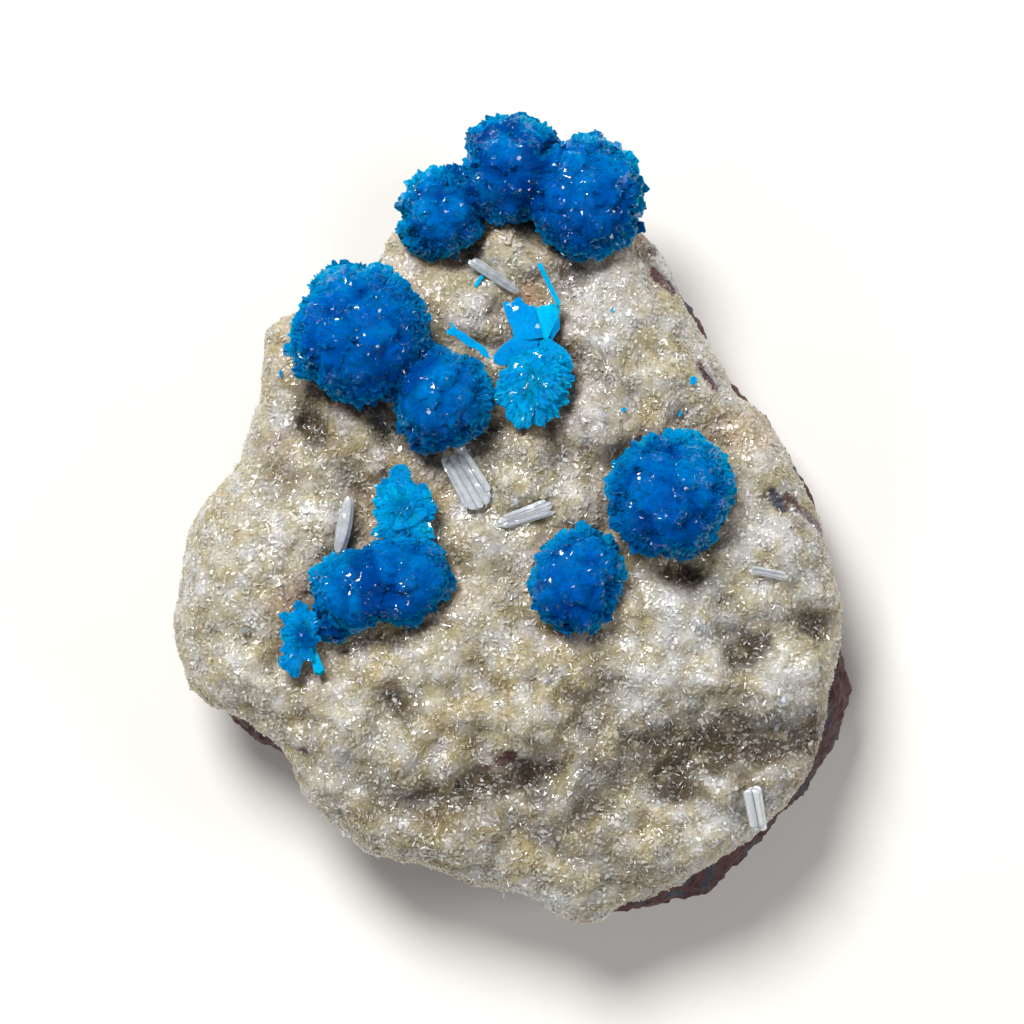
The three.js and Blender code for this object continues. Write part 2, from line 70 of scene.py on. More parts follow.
# The hearts that each rosette grew from: x, y and radius, and how pale the blue is there, from 0 to 1.
ROSETTES = {
    "cavansite_crown": [
        (-6.4, 26.9, 3.5, 0.25),
        (-0.6, 30.0, 3.8, 0.1),
        (-1.6, 33.3, 2.1, 0.35),
        (1.3, 33.0, 2.1, 0.3),
        (6.3, 28.3, 5.0, 0.05),
    ],
    "cavansite_west": [(-13.2, 16.1, 5.8, 0.05), (-6.3, 10.8, 4.1, 0.2), (-7.1, 7.3, 1.6, 0.3)],
    "cavansite_bow_tie": [(1.6, 11.8, 3.3, 0.8), (2.3, 16.2, 1.5, 1.0), (1.4, 18.6, 2.0, 1.0)],
    "cavansite_east": [(13.3, 2.3, 5.0, 0.1)],
    "cavansite_south": [(5.4, -5.1, 4.0, 0.05)],
    "cavansite_southwest": [
        (-9.4, 1.7, 2.5, 0.65),
        (-9.6, -5.2, 4.3, 0.12),
        (-14.2, -6.3, 3.4, 0.25),
        (-15.7, -9.1, 1.7, 0.4),
        (-18.2, -8.7, 1.6, 0.55),
        (-18.6, -11.6, 1.8, 0.5),
    ],
}

# Stained and whitened stretches of the druse: x, y, reach and strength.
OCHRE_PATCHES = [
    (-25.7, -0.7, 4.0, 0.5), (-2.1, -14.7, 5.0, 0.8), (-7.4, -19.1, 4.0, 0.8), (-5.6, -26.1, 4.0, 0.6),
    (1.4, -27.9, 3.0, 0.5), (-7.4, 21.1, 3.5, 0.6), (-0.4, 25.5, 3.0, 0.5), (-18.7, 15.0, 3.5, 0.6),
    (14.5, 15.0, 3.0, 0.4), (1.4, 4.5, 3.0, 0.5), (-13.5, 6.3, 3.5, 0.5), (-10.9, -12.1, 3.5, 0.6),
    (-17.9, -17.4, 3.5, 0.5), (4.0, -13.0, 4.0, 0.5), (18.0, 8.0, 3.0, 0.4), (-25.7, -10.4, 3.0, 0.3),
    (5.0, -18.0, 4.0, 0.5), (12.0, -27.5, 3.5, 0.4), (-12.5, -25.0, 3.0, 0.4), (24.0, -7.5, 3.0, 0.3),
]
# The druse's brown creases, partly its own stain and partly painted shade in its valleys and below the
# rosettes: x and y of both ends, half width and strength.
BROWN_STAIN_AND_SHADE_CREASES = [
    (-18.1, 10.8, -17.6, 7.4, 1.6, 0.7), (-13.8, 3.6, -12.6, 2.4, 0.8, 0.5),
    (-9.8, 8.6, -7.6, 6.8, 1.6, 0.6), (-3.4, 8.2, -1.2, 6.6, 1.5, 0.5), (7.6, 14.4, 9.0, 11.4, 1.2, 0.5),
    (3.0, 22.6, 4.4, 21.2, 1.2, 0.5), (-5.5, 25.4, -7.2, 24.4, 1.4, 0.5),
    (-3.8, -23.6, 2.4, -21.6, 1.7, 0.9), (-12.8, -24.8, -8.6, -24.0, 1.6, 0.6),
    (8.5, -21.4, 14.0, -22.6, 2.0, 0.6), (14.0, -20.4, 18.5, -20.8, 1.8, 0.8),
    (17.2, -21.1, 22.4, -19.4, 1.6, 1.0), (22.0, -19.4, 26.4, -18.4, 1.6, 1.0),
    (12.7, -23.2, 16.2, -23.7, 1.2, 0.9), (19.8, -15.0, 20.2, -17.2, 1.2, 0.6),
    (18.8, -12.1, 21.6, -10.6, 1.1, 0.9), (24.6, -8.4, 27.2, -9.8, 1.0, 0.8),
    (7.0, -12.4, 8.2, -13.6, 1.2, 0.5), (4.0, -31.0, 6.0, -31.8, 1.4, 0.4),
    (-18.4, -19.6, -17.4, -20.4, 1.2, 0.5), (13.4, -4.4, 15.8, -5.6, 1.3, 0.7),
    (-10.6, -15.2, -9.0, -16.8, 1.2, 0.7), (8.6, -29.4, 12.6, -30.6, 2.0, 0.4),
    (8.0, -21.0, 26.0, -19.0, 3.8, 0.75), (-6.0, -25.5, 6.0, -26.5, 3.6, 0.5),
    (-18.0, -20.0, -9.0, -23.5, 3.2, 0.3), (-18.0, 9.0, -15.0, 4.5, 3.0, 0.35),
]
PEACH_PATCHES = [
    (-12.5, 0.5, 3.0, 0.5), (-19.0, -8.0, 2.5, 0.4), (10.0, 6.0, 2.2, 0.5), (17.0, 6.5, 3.0, 0.4),
    (1.5, 19.9, 1.6, 0.9), (21.0, 8.0, 3.0, 0.5), (-20.5, 5.5, 3.0, 0.3), (10.5, 25.0, 1.5, 0.7),
]
FROST_PATCHES = [
    (7.5, 19.4, 5.0, 0.6), (6.7, 9.8, 4.0, 0.7), (18.0, 12.4, 3.0, 0.4), (11.0, 24.6, 3.0, 0.5),
    (5.8, 1.9, 3.0, 0.4), (23.3, -2.5, 5.0, 0.6), (15.4, -8.6, 4.0, 0.6), (23.3, -16.0, 4.0, 0.6),
    (12.8, -14.7, 5.0, 0.4), (-28.4, -6.0, 3.0, 0.4), (-22.2, -2.5, 4.0, 0.3), (21.5, -26.1, 4.0, 0.5),
    (2.3, -33.1, 3.0, 0.4), (-17.0, -13.9, 3.0, 0.3), (-3.0, 18.0, 2.5, 0.5),
]

# Where the crust has come away from the basalt: x and y of both ends and half width.
BARE_STRIPS = [
    (-1.3, -20.9, -0.1, -20.4, 0.55), (0.2, -21.0, 1.5, -21.6, 0.3), (-3.3, -21.4, -2.3, -21.6, 0.25),
    (22.5, 2.4, 23.5, 1.2, 0.6), (23.8, 2.2, 27.3, -0.9, 0.4), (12.0, 23.9, 12.2, 23.6, 0.4),
    (12.2, 21.9, 13.9, 20.3, 0.5), (16.1, 13.7, 17.5, 11.7, 0.35), (-18.8, -19.9, -18.3, -20.1, 0.3),
]

# Flat plates traced corner by corner: the solid under them, how many plates deep they lie in the stack,
# how pale they are, from 0 to 2, the two ends of the line that they slope along, and the outline.
TRACED_PLATES = [
    (
        "cavansite_bow_tie", 0, 0.8, (1.5, 15.8), (1.2, 18.9),
        [
            (1.3, 15.75), (0.0, 15.9), (-0.15, 16.7), (-0.58, 17.6), (-1.0, 18.95), (-0.7, 19.1),
            (-0.3, 18.95), (0.0, 19.2), (0.25, 19.45), (0.55, 19.5), (0.75, 19.2), (1.0, 18.9),
            (1.35, 18.7), (1.75, 18.8), (2.1, 17.4), (2.5, 15.95),
        ],
    ),
    (
        "cavansite_bow_tie", 1, 1.7, (2.6, 15.8), (3.0, 18.9),
        [
            (2.3, 15.9), (1.8, 17.0), (1.5, 18.6), (2.0, 18.6), (2.4, 18.75), (2.9, 18.8), (3.3, 19.0),
            (3.6, 18.8), (3.9, 19.25), (4.0, 18.2), (3.05, 16.1), (2.8, 15.9),
        ],
    ),
    (
        "cavansite_bow_tie", 3, 0.8, (3.0, 15.9), (3.9, 17.9),
        [(2.8, 15.6), (3.0, 16.4), (3.95, 17.9), (4.0, 16.8), (3.2, 15.6)],
    ),
    (
        "cavansite_bow_tie", 1.2, 0.85, (1.2, 15.4), (-0.9, 14.2),
        [
            (2.2, 15.8), (0.9, 16.1), (0.0, 16.05), (-1.0, 15.3), (-1.78, 14.35), (-1.75, 13.85),
            (-1.3, 13.55), (-0.9, 13.5), (0.6, 13.9), (1.8, 14.6),
        ],
    ),
    (
        "cavansite_bow_tie", 1.2, 1.25, (2.6, 15.6), (4.4, 13.9),
        [(2.2, 15.7), (2.9, 16.0), (4.3, 15.1), (4.9, 14.4), (5.2, 13.3), (4.2, 13.0), (2.4, 14.3)],
    ),
    (
        "cavansite_west", 1, 1.2, (-2.3, 14.6), (-5.6, 16.6),
        [
            (-2.0, 14.0), (-2.45, 15.0), (-3.1, 15.45), (-3.7, 15.85), (-4.3, 16.3), (-4.9, 16.6),
            (-5.45, 17.25), (-5.6, 17.2), (-5.35, 16.8), (-5.85, 16.5), (-5.75, 16.2), (-5.0, 16.0),
            (-4.55, 15.6), (-3.9, 15.1), (-3.2, 14.9), (-2.8, 14.4),
        ],
    ),
]
# The paler, toothed heads, traced in the same way: the solid under each, how pale and how dark in the
# middle it is, the point its blades spread from, how far the rim lies below it, and the outline.
TRACED_HEADS = {
    "bow_tie_dome": (
        "cavansite_bow_tie", 0.85, 0.0, (2.1, 12.9), 1.9,
        [
            (0.9, 14.7), (0.2, 14.3), (-0.3, 13.8), (-0.75, 13.2), (-1.35, 12.9), (-1.3, 12.4),
            (-1.5, 12.1), (-1.4, 11.8), (-1.7, 11.4), (-1.6, 11.1), (-1.8, 10.8), (-1.5, 10.3),
            (-1.1, 9.95), (-0.75, 9.85), (-0.75, 9.3), (-0.5, 8.7), (-0.25, 8.65), (0.05, 8.2), (0.4, 7.95),
            (0.9, 8.15), (1.25, 8.0), (1.6, 8.9), (1.95, 8.3), (2.3, 8.4), (2.7, 8.1), (2.7, 8.6),
            (3.3, 8.8), (3.5, 9.1), (3.9, 9.0), (3.8, 9.6), (4.1, 10.0), (4.7, 10.3), (4.4, 10.7),
            (4.8, 11.1), (4.4, 11.3), (4.9, 11.7), (4.9, 12.0), (5.25, 12.3), (4.85, 12.7), (4.95, 13.0),
            (4.6, 13.4), (4.95, 14.0), (4.5, 14.4), (3.6, 14.9), (2.3, 15.1),
        ],
    ),
    "flower": (
        "cavansite_southwest", 0.85, 0.4, (-9.7, 1.3), 1.3,
        [
            (-11.5, -1.4), (-12.15, -1.25), (-12.35, -0.95), (-11.85, -0.45), (-11.9, 0.1), (-12.25, 0.6),
            (-11.85, 1.05), (-12.1, 1.4), (-12.35, 1.85), (-11.95, 2.3), (-12.0, 2.8), (-12.15, 3.2),
            (-11.6, 3.3), (-11.3, 3.65), (-10.8, 3.9), (-10.8, 4.5), (-10.4, 4.85), (-9.95, 5.0),
            (-9.4, 4.9), (-9.0, 4.4), (-8.95, 3.8), (-8.5, 3.0), (-8.1, 3.3), (-7.7, 3.35), (-7.4, 2.9),
            (-7.2, 2.6), (-7.1, 2.0), (-6.6, 1.15), (-6.9, 0.6), (-6.9, 0.2), (-7.35, 0.0), (-7.0, -0.6),
            (-7.1, -1.5), (-9.4, -1.9),
        ],
    ),
    "star": (
        "cavansite_southwest", 0.6, 1.2, (-18.1, -9.8), 0.6,
        [
            (-19.0, -6.9), (-18.7, -6.85), (-18.2, -7.1), (-17.95, -7.7), (-17.2, -7.9), (-16.9, -8.5),
            (-16.85, -9.1), (-17.2, -9.8), (-16.7, -10.1), (-17.3, -10.7), (-17.8, -10.9), (-18.2, -11.9),
            (-18.6, -13.0), (-18.75, -13.5), (-19.05, -13.6), (-19.5, -13.4), (-19.6, -13.05),
            (-20.0, -12.9), (-20.4, -12.6), (-20.5, -12.2), (-20.4, -11.9), (-19.9, -11.5), (-20.3, -11.3),
            (-20.35, -11.1), (-20.0, -10.6), (-20.25, -10.05), (-20.35, -9.5), (-20.2, -9.3), (-19.9, -9.0),
            (-20.0, -8.8), (-20.5, -8.2), (-20.45, -8.0), (-19.9, -7.8), (-19.5, -8.0), (-19.3, -7.8),
            (-19.05, -7.7), (-19.1, -7.2),
        ],
    ),
}
# The domes of a head, outermost first: the share of its size, its turn and how far it is raised.
HEAD_LAYERS = ((1, 0, 0), (0.62, 0.5, 0.06), (0.34, 1.1, 0.1))
# The rings of a dome, from the hem tucked in under it up to its top: the share of its size, and how far
# each ring hangs below the dome.
HEAD_RINGS = ((0.9, 0.7), (1, 0.1), (0.97, 0), (0.7, 0), (0.4, 0), (0.06, 0))
# Where the traced plates and heads take a rosette's place, its heart is drawn in under them: a circle's
# x, y and radius, the place that the heart is drawn to, and the share of its size that is left.
COVERED = {
    "cavansite_bow_tie": [(2.0, 19.6, 5.3, 2.2, 15.6, 0.12), (1.7, 11.5, 4.3, 1.8, 11.8, 0.8)],
    "cavansite_southwest": [
        (-18.9, -11.6, 3.1, -17.9, -10.2, 0.4),
        (-18.4, -7.8, 1.9, -17.4, -9.0, 0.45),
        (-9.4, 2.3, 3.3, -9.5, 0.8, 0.75),
    ],
    "cavansite_west": [(-4.7, 16.9, 2.6, -4.4, 13.6, 0.25)],
}
# Notches in a rosette's edge, given in the same way, and where it is wider by a share over one.
NOTCHES = {
    "cavansite_crown": [(-0.1, 31.7, 4.4, -0.1, 31.7, 1.35)],
    "cavansite_southwest": [
        (-11.6, -9.6, 2.2, -11.2, -7.2, 0.55),
        (-13.6, -1.6, 1.5, -13.0, -3.4, 0.6),
        (-5.0, -7.6, 1.4, -6.6, -6.4, 0.6),
    ],
}
# Single blades: the solid under them, x and y of foot and end, widths there and thickness.
SINGLE_BLADES = [
    ("cavansite_bow_tie", (3.85, 18.9), (2.15, 22.25), 0.42, 0.4, 0.35),
    ("cavansite_southwest", (-17.8, -10.6), (-16.8, -13.3), 0.6, 0.85, 0.7),
    (CRUST_NODE, (-3.4, 20.5), (-2.75, 21.5), 0.3, 0.35, 0.2),
]
# Stilbite blades: x and y of foot and end, widths there and thickness, prisms, the share of its length
# that each end tapers over, how far the prisms' ends differ, and how milky.
STILBITE_BLADES = {
    "stilbite_sheaf_centre": ((-5.6, 6.3), (-2.7, 1.3), 2.0, 2.7, 0.5, 4, 0.08, 0.9, 0.65),
    "stilbite_sheaf_middle": ((-1.6, -0.3), (3.4, 1.4), 1.0, 1.5, 0.5, 4, 0.12, 0.9, 0.75),
    "stilbite_blade_west": ((-15.3, -2.9), (-14.3, 2.2), 0.8, 0.7, 0.5, 1, 0.35, 0.3, 0.6),
    "stilbite_blade_north": ((0.4, 20.0), (-3.9, 22.9), 0.45, 0.95, 0.4, 2, 0.2, 0.3, 0.5),
    "stilbite_blade_southeast": ((21.5, -27.3), (20.7, -23.1), 1.0, 1.35, 0.5, 2, 0.06, 0.6, 1.0),
    "stilbite_blade_east": ((20.4, -4.1), (23.8, -4.8), 0.5, 0.6, 0.3, 2, 0.1, 0.3, 0.8),
}
# Flecks lying on the druse: x, y, turn in degrees, length and width.
BLUE_FLECKS = [
    (15.6, 12.3, 80, 0.8, 0.65), (14.5, 9.4, 60, 0.55, 0.25), (9.5, 9.7, 20, 0.45, 0.35),
    (-20.4, 12.9, 95, 0.65, 0.25), (8.6, 18.4, 40, 0.35, 0.25),
]
CLEAR_FLECKS = [
    (23.4, -15.6, 30, 1.2, 0.9), (23.0, -17.8, 70, 0.9, 0.5), (16.3, -9.2, 15, 0.8, 0.6),
    (7.7, 9.2, 50, 0.7, 0.5), (0.2, 1.7, 10, 0.7, 0.6), (13.9, 21.0, 130, 2.4, 0.25),
    (17.2, 12.6, 128, 2.0, 0.2), (24.2, 1.0, 25, 0.9, 0.3), (2.9, -13.8, 60, 1.0, 0.3),
    (-23.5, -9.5, 10, 0.8, 0.4), (17.8, -28.0, 35, 1.1, 0.3), (-14.0, -2.9, 75, 0.6, 0.4),
]


def linear(hex_colour):
    """An sRGB hex colour as the linear red, green, blue and alpha that the shaders take."""
    values = [int(hex_colour[i : i + 2], 16) / 255 for i in (1, 3, 5)]
    return [v / 12.92 if v <= 0.04045 else ((v + 0.055) / 1.055) ** 2.4 for v in values] + [1.0]


def figure(name, description, value, **limits):
    """A number that the panel shows."""
    return bpy.props.FloatProperty(name=name, description=description, default=value, **limits)


def colour(name, description, hex_colour):
    shown = {"subtype": "COLOR", "size": 4, "min": 0, "max": 1, "default": linear(hex_colour)}
    return bpy.props.FloatVectorProperty(name=name, description=description, **shown)


def length(name, description, millimetres):
    return figure(name, description, millimetres * MM, unit="LENGTH", precision=5, min=0)


def share(name, description, value):
    return figure(name, description, value, subtype="FACTOR", min=0, max=1)


def number(name, description, value):
    return figure(name, description, value, min=0)


class StageSettings(bpy.types.PropertyGroup):
    """The floor, the lights and the camera."""

    floor: colour("Floor", "Colour of the matte floor", "#E8E5E0")
    key_energy: figure("Key light", "Power of the main light", 5.8, subtype="POWER")
    fill_energy: figure("Fill light", "Power of the low front light", 1.0, subtype="POWER")
    side_energy: figure("Side light", "Power of the low light from the right", 1.1, subtype="POWER")
    sky: share("Room light", "Strength of the even light from all round", 0.1)
    camera_height: length("Camera height", "Height of the lens over the floor", 388.3)
    camera_x: figure("Camera X", "Where the lens looks down", -0.175 * MM, unit="LENGTH", precision=5)
    camera_y: figure("Camera Y", "Where the lens looks down", 0.83 * MM, unit="LENGTH", precision=5)


class RockSettings(bpy.types.PropertyGroup):
    """The basalt."""

    grid: length("Mesh grid", "Spacing of the rock's mesh", 0.45)
    chip: length("Chips", "Spacing of the broken rock's chips", 2.6)
    chip_depth: length("Chip depth", "How deep the chips go", 0.55)
    grit: length("Grit", "Spacing of the rock's grit", 0.7)
    grit_depth: length("Grit depth", "How deep the grit goes", 0.16)
    brown: colour("Brown", "Main colour of the rock", "#4A302C")
    purple: colour("Purple", "Its weathered purple-red", "#5E3A3C")
    slate: colour("Slate", "Its blue-grey streaks", "#3A4250")


class CrustSettings(bpy.types.PropertyGroup):
    """The stilbite druse and its small crystals."""

    grid: length("Mesh grid", "Spacing of the crust's mesh", 0.38)
    inset: length("Inset", "How far the ground lies below the crystal tips", 0.1)
    knob: length("Knobs", "Spacing of the crust's knobs", 2.2)
    knob_height: length("Knob height", "How high the knobs stand", 0.65)
    bead: length("Beads", "Spacing of the small facets on the knobs", 0.6)
    bead_height: length("Bead height", "How high the facets stand", 0.08)
    density: number("Crystals", "Crystals on a square millimetre", 12)
    shortest: length("Shortest crystal", "Length of the shortest crystals", 0.28)
    longest: length("Longest crystal", "Length of the longest crystals", 0.7)
    lean: share("Lean", "How far the crystals lean off the surface", 0.9)
    cream: colour("Cream", "Main colour of the ground", "#BCAE88")
    pale: colour("Pale", "Its paler stretches", "#CEC7B0")
    ochre: colour("Ochre", "Its yellow stain", "#B89C5A")
    peach: colour("Peach", "Its warm stain next to the cavansite", "#BE8C5C")
    # The olive and the brown are partly stain and partly painted shade, between the knobs and in the
    # hollows.
    olive: colour("Olive", "Its stain between the knobs", "#8C7A48")
    brown: colour("Brown", "The brown of its hollows", "#48351A")
    frost: colour("Frost", "Its white stretches and frosting", "#DAD9DC")
    glassy: colour("Glassy", "The laths and the whitest grains", "#F4F4F4")


class CavansiteSettings(bpy.types.PropertyGroup):
    """The blue rosettes."""

    grid: length("Mesh grid", "Spacing of the rosettes' mesh", 0.2)
    inset: length("Inset", "How far the heart lies below the crystal tips", 0.25)
    clump: length("Clumps", "Spacing of the tufts of blades", 2.2)
    clump_height: length("Clump height", "How high the tufts stand", 1.1)
    density: number("Blades", "Blades on a square millimetre", 11)
    shortest: length("Shortest blade", "Length of the shortest blades", 0.3)
    longest: length("Longest blade", "Length of the longest blades", 0.85)
    lean: share("Lean", "How far the blades lean off their own direction", 0.25)
    # The darkest blue is painted shade: it darkens the creases, the notches, the places where hearts meet,
    # the undersides and the heads' darker middles.
    shaded_blue: colour("Deep", "The blue between the blades", "#003480")
    blue: colour("Blue", "The blades' main blue", "#0054A8")
    # Azure and cyan also carry painted light, at the rims and on the north side.
    azure: colour("Azure", "The paler rosettes' blue", "#008ECE")
    cyan: colour("Cyan", "The palest plates' blue", "#00C4E0")
    # The tip colour is painted light: the glow where the thin ends let light through.
    tip: colour("Tip", "The blades' lighter ends", "#0C9CDC")


class PlateSettings(bpy.types.PropertyGroup):
    """The paler heads, sprays and single blades."""

    thickness: length("Plate thickness", "Thickness of the fan's plates", 0.22)
    ridge: length("Ridges", "How far the heads' blades stand out of the notches between them", 0.02)
    density: number("Small blades", "Small blades on a square millimetre of the heads", 9)
    spray_pale: number("Spray paleness", "How pale the single blades are, up to 2", 1.5)
    streaks: share("Streaks", "How much the heads' blades differ in paleness", 0.4)
    seed: bpy.props.IntProperty(name="Seed", description="The heads' streaks and blades", default=3)


class FleckSettings(bpy.types.PropertyGroup):
    """The loose flecks and flakes on the druse."""

    thickness: length("Fleck thickness", "Thickness of each fleck", 0.15)
    lift: length("Lift", "How high the flecks lie over the crust", 0.3)


class StilbiteSettings(bpy.types.PropertyGroup):
    """The larger clear blades."""

    clear: colour("Clear", "The clear blades' faint tint", "#AEB8C0")
    milky: colour("Milky", "The milky clouds in them", "#F0F6FF")
    seed: bpy.props.IntProperty(name="Seed", description="Arrangement of the prisms", default=5)


# ------------------------------------------------------------------------------------------------
# Meshes


def new_piece(name, mesh):
    piece = bpy.data.objects.new(name, mesh)
    bpy.context.scene.collection.objects.link(piece)
    return piece


def baked(piece):
    """Replaces a piece's mesh by what its modifiers make of it, and gives the piece back."""
    bpy.context.view_layer.update()
    graph = bpy.context.evaluated_depsgraph_get()
    grown = piece.evaluated_get(graph)
    made = bpy.data.meshes.new_from_object(grown, preserve_all_data_layers=True, depsgraph=graph)
    old = piece.data
    piece.modifiers.clear()
    piece.data = made
    bpy.data.meshes.remove(old)
    return piece


def grown_from(node_name, piece_name, grid, smoothing):
    """A new piece with a solid's shape, evenly meshed, its facets smoothed."""
    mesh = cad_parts[node_name].data.copy()
    mesh.materials.clear()
    work = bmesh.new()
    work.from_mesh(mesh)
    bmesh.ops.remove_doubles(work, verts=work.verts, dist=TINY)
    work.to_mesh(mesh)
    work.free()
    piece = new_piece(piece_name, mesh)
    remesh = piece.modifiers.new("Even mesh", "REMESH")
    remesh.mode = "VOXEL"
    remesh.voxel_size = grid
    smooth = piece.modifiers.new("Smooth", "SMOOTH")
    smooth.factor = 0.5
    smooth.iterations = smoothing
    return baked(piece)


def points_of(mesh):
    values = np.empty(len(mesh.vertices) * 3)
    mesh.vertices.foreach_get("co", values)
    return values.reshape(-1, 3)


def normals_of(mesh):
    values = np.empty(len(mesh.vertices) * 3)
    mesh.vertex_normals.foreach_get("vector", values)
    return values.reshape(-1, 3)


def store(mesh, name, values):
    """Keeps one number or one vector for each vertex under a name that trees and materials can read."""
    values = np.asarray(values, np.float32)
    kind, field = ("FLOAT", "value") if values.ndim == 1 else ("FLOAT_VECTOR", "vector")
    attribute = mesh.attributes.get(name) or mesh.attributes.new(name, kind, "POINT")
    attribute.data.foreach_set(field, values.ravel())


def smoothstep(low, high, values):
    """An even rise from 0 at the low value to 1 at the high one."""
    t = np.clip((values - low) / (high - low), 0, 1)
    return t * t * (3 - 2 * t)


def waver(points, spacing):
    """A smooth random number from -1 to 1 at each point, which changes over the spacing."""
    return np.array([noise.noise(Vector(p) / spacing) for p in points])


def patches(points, listed):
    """How strongly each point lies in the listed round patches, with a wavering edge."""
    uneven = waver(points, 3 * MM)
    total = np.zeros(len(points))
    for x, y, reach, strength in listed:
        away = np.hypot(points[:, 0] - x * MM, points[:, 1] - y * MM) / (reach * MM)
        total += strength * (1 - smoothstep(0.35, 1.15, away + 0.35 * uneven))
    return np.clip(total, 0, 1)


def off_line(points, x0, y0, x1, y1):
    """How far each point lies, seen from above, from the line between two ends given in millimetres."""
    start, run = np.array((x0, y0)) * MM, np.array((x1 - x0, y1 - y0)) * MM
    share_of_run = np.clip((points[:, :2] - start) @ run / (run @ run), 0, 1)
    return np.linalg.norm(points[:, :2] - start - share_of_run[:, None] * run, axis=1)


def creases(points, listed):
    """How strongly each point lies in the listed creases, which fade out sideways and waver."""
    uneven = waver(points, 1.6 * MM)
    total = np.zeros(len(points))
    for *ends, half, strength in listed:
        away = off_line(points, *ends) / (half * MM)
        total = np.maximum(total, strength * (1 - smoothstep(0.1, 1.5, away + 0.7 * uneven)))
    return total


def strips(points, listed):
    """How strongly each point lies in the listed strips, with a ragged edge."""
    ragged = waver(points, 0.8 * MM)
    total = np.zeros(len(points))
    for *ends, half in listed:
        away = off_line(points, *ends) / (half * MM)
        total = np.maximum(total, 1 - smoothstep(0.8, 1.2, away + 0.4 * ragged))
    return total


def tree_of(names):
    """One search tree over several solids of the frame."""
    corners, faces = [], []
    for name in names:
        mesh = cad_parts[name].data
        start = len(corners)
        corners += [v.co.copy() for v in mesh.vertices]
        faces += [[start + i for i in p.vertices] for p in mesh.polygons]
    return BVHTree.FromPolygons(corners, faces)


def is_inside(point, tree):
    """Whether a ray straight up from a point leaves the solids an odd number of times."""
    crossings, start = 0, Vector(point)
    while True:
        hit = tree.ray_cast(start, UP)[0]
        if hit is None:
            return crossings % 2 == 1
        crossings += 1
        start = hit + UP * TINY


def distances(points, tree, reach):
    """Distance of each point from a search tree's faces, negative inside."""
    found = np.full(len(points), reach)
    for i, point in enumerate(points):
        away = tree.find_nearest(Vector(point), reach)[3]
        if away is not None:
            found[i] = -away if is_inside(point, tree) else away
    return found


def hollowness(points, normals, cell=0.5 * MM, blur_cells=5):
    """How far each point lies below the ground round it, as a share of 1.1 mm."""
    low = points.min(0) - 4 * cell
    size = np.ceil((points.max(0) - low) / cell).astype(int) + 4
    top = np.full(size[:2], -1.0)
    at = ((points - low) / cell).astype(int)
    facing = normals[:, 2] > 0.2
    np.maximum.at(top, (at[facing, 0], at[facing, 1]), points[facing, 2])
    there = (top > 0).astype(float)
    height = np.where(top > 0, top, 0)
    reach = np.arange(-3 * blur_cells, 3 * blur_cells + 1)
    kernel = np.exp(-0.5 * (reach / blur_cells) ** 2)
    kernel /= kernel.sum()
    for axis in (0, 1):
        height = np.apply_along_axis(np.convolve, axis, height, kernel, "same")
        there = np.apply_along_axis(np.convolve, axis, there, kernel, "same")
    mean = height / np.maximum(there, 1e-6)
    below = (mean[at[:, 0], at[:, 1]] - points[:, 2]) / (1.1 * MM)
    inland = smoothstep(0.62, 0.95, there[at[:, 0], at[:, 1]])
    return np.clip(below, 0, 1) * inland


def top_of(solid, x, y):
    """The point straight down on a solid at x and y, given in millimetres, or None beside it."""
    return solid.ray_cast(Vector((x * MM, y * MM, 1)), -UP)[0]


def standing_on(solid, x, y, reach=2.4):
    """The top of a solid at x and y, or at the nearest place within reach where there is one."""
    for ring in range(13):
        for step in range(16):
            turn = math.tau * step / 16
            away = reach * ring / 12
            hit = top_of(solid, x + away * math.cos(turn), y + away * math.sin(turn))
            if hit:
                return Vector((x * MM, y * MM, hit.z))
    raise RuntimeError(f"nothing lies under {x}, {y}")


class Blades:
    """Closed blades, gathered into one mesh with their own attributes."""

    def __init__(self):
        self.points = []
        self.faces = []
        self.values = {"tip": [], "tone": [], "growth": []}

    def add(self, rings, reach, tone, growth):
        """Adds a closed body through rings of corners, with how far each corner lies along it."""
        first, sides = len(self.points), len(rings[0])
        for ring in rings:
            self.points += ring
        last = first + (len(rings) - 1) * sides
        self.faces += [[first + i for i in range(sides)][::-1], [last + i for i in range(sides)]]
        for low in range(first, last, sides):
            for i in range(sides):
                j = (i + 1) % sides
                self.faces.append([low + i, low + j, low + sides + j, low + sides + i])
        self.values["tip"] += reach
        self.values["tone"] += [tone] * len(rings) * sides
        self.values["growth"] += [growth] * len(rings) * sides

    def add_flat(self, outline, reach, normal, thickness, tone, growth):
        """Adds a flat blade: its outline, thickened both ways along a normal."""
        rings = [[corner + side * thickness * normal for corner in outline] for side in (-0.5, 0.5)]
        self.add(rings, list(reach) * 2, tone, growth)

    def piece(self, name, material, **even):
        """The piece they make, with faces turned outward and some values the same all over."""
        mesh = bpy.data.meshes.new(name)
        mesh.from_pydata(self.points, [], self.faces)
        work = bmesh.new()
        work.from_mesh(mesh)
        bmesh.ops.recalc_face_normals(work, faces=work.faces)
        bmesh.ops.triangulate(work, faces=[f for f in work.faces if len(f.verts) > 4])
        work.to_mesh(mesh)
        work.free()
        for key, values in self.values.items():
            store(mesh, key, values)
        for key, value in even.items():
            store(mesh, key, np.full(len(mesh.vertices), value))
        mesh.materials.append(material)
        return new_piece(name, mesh)


def plate(blades, foot, end, foot_width, end_width, thickness):
    """A flat blade lying face up that widens from its foot to a rounded, toothed end."""
    teeth = 2
    along = (end - foot).normalized()
    across = along.cross(UP).normalized()
    span = (end - foot).length
    outline = [foot - across * foot_width / 2]
    reach = [0.4]
    for i in range(2 * teeth + 1):
        side = i / teeth - 1
        arch = 0.28 * side * side + (0.16 if i % 2 else 0)
        outline.append(foot + along * (span - arch * end_width) + across * side * end_width / 2)
        reach.append(1.0 if i % 2 == 0 else 0.85)
    outline.append(foot + across * foot_width / 2)
    reach.append(0.4)
    blades.add_flat(outline, reach, across.cross(along), thickness, 0.5, UP)


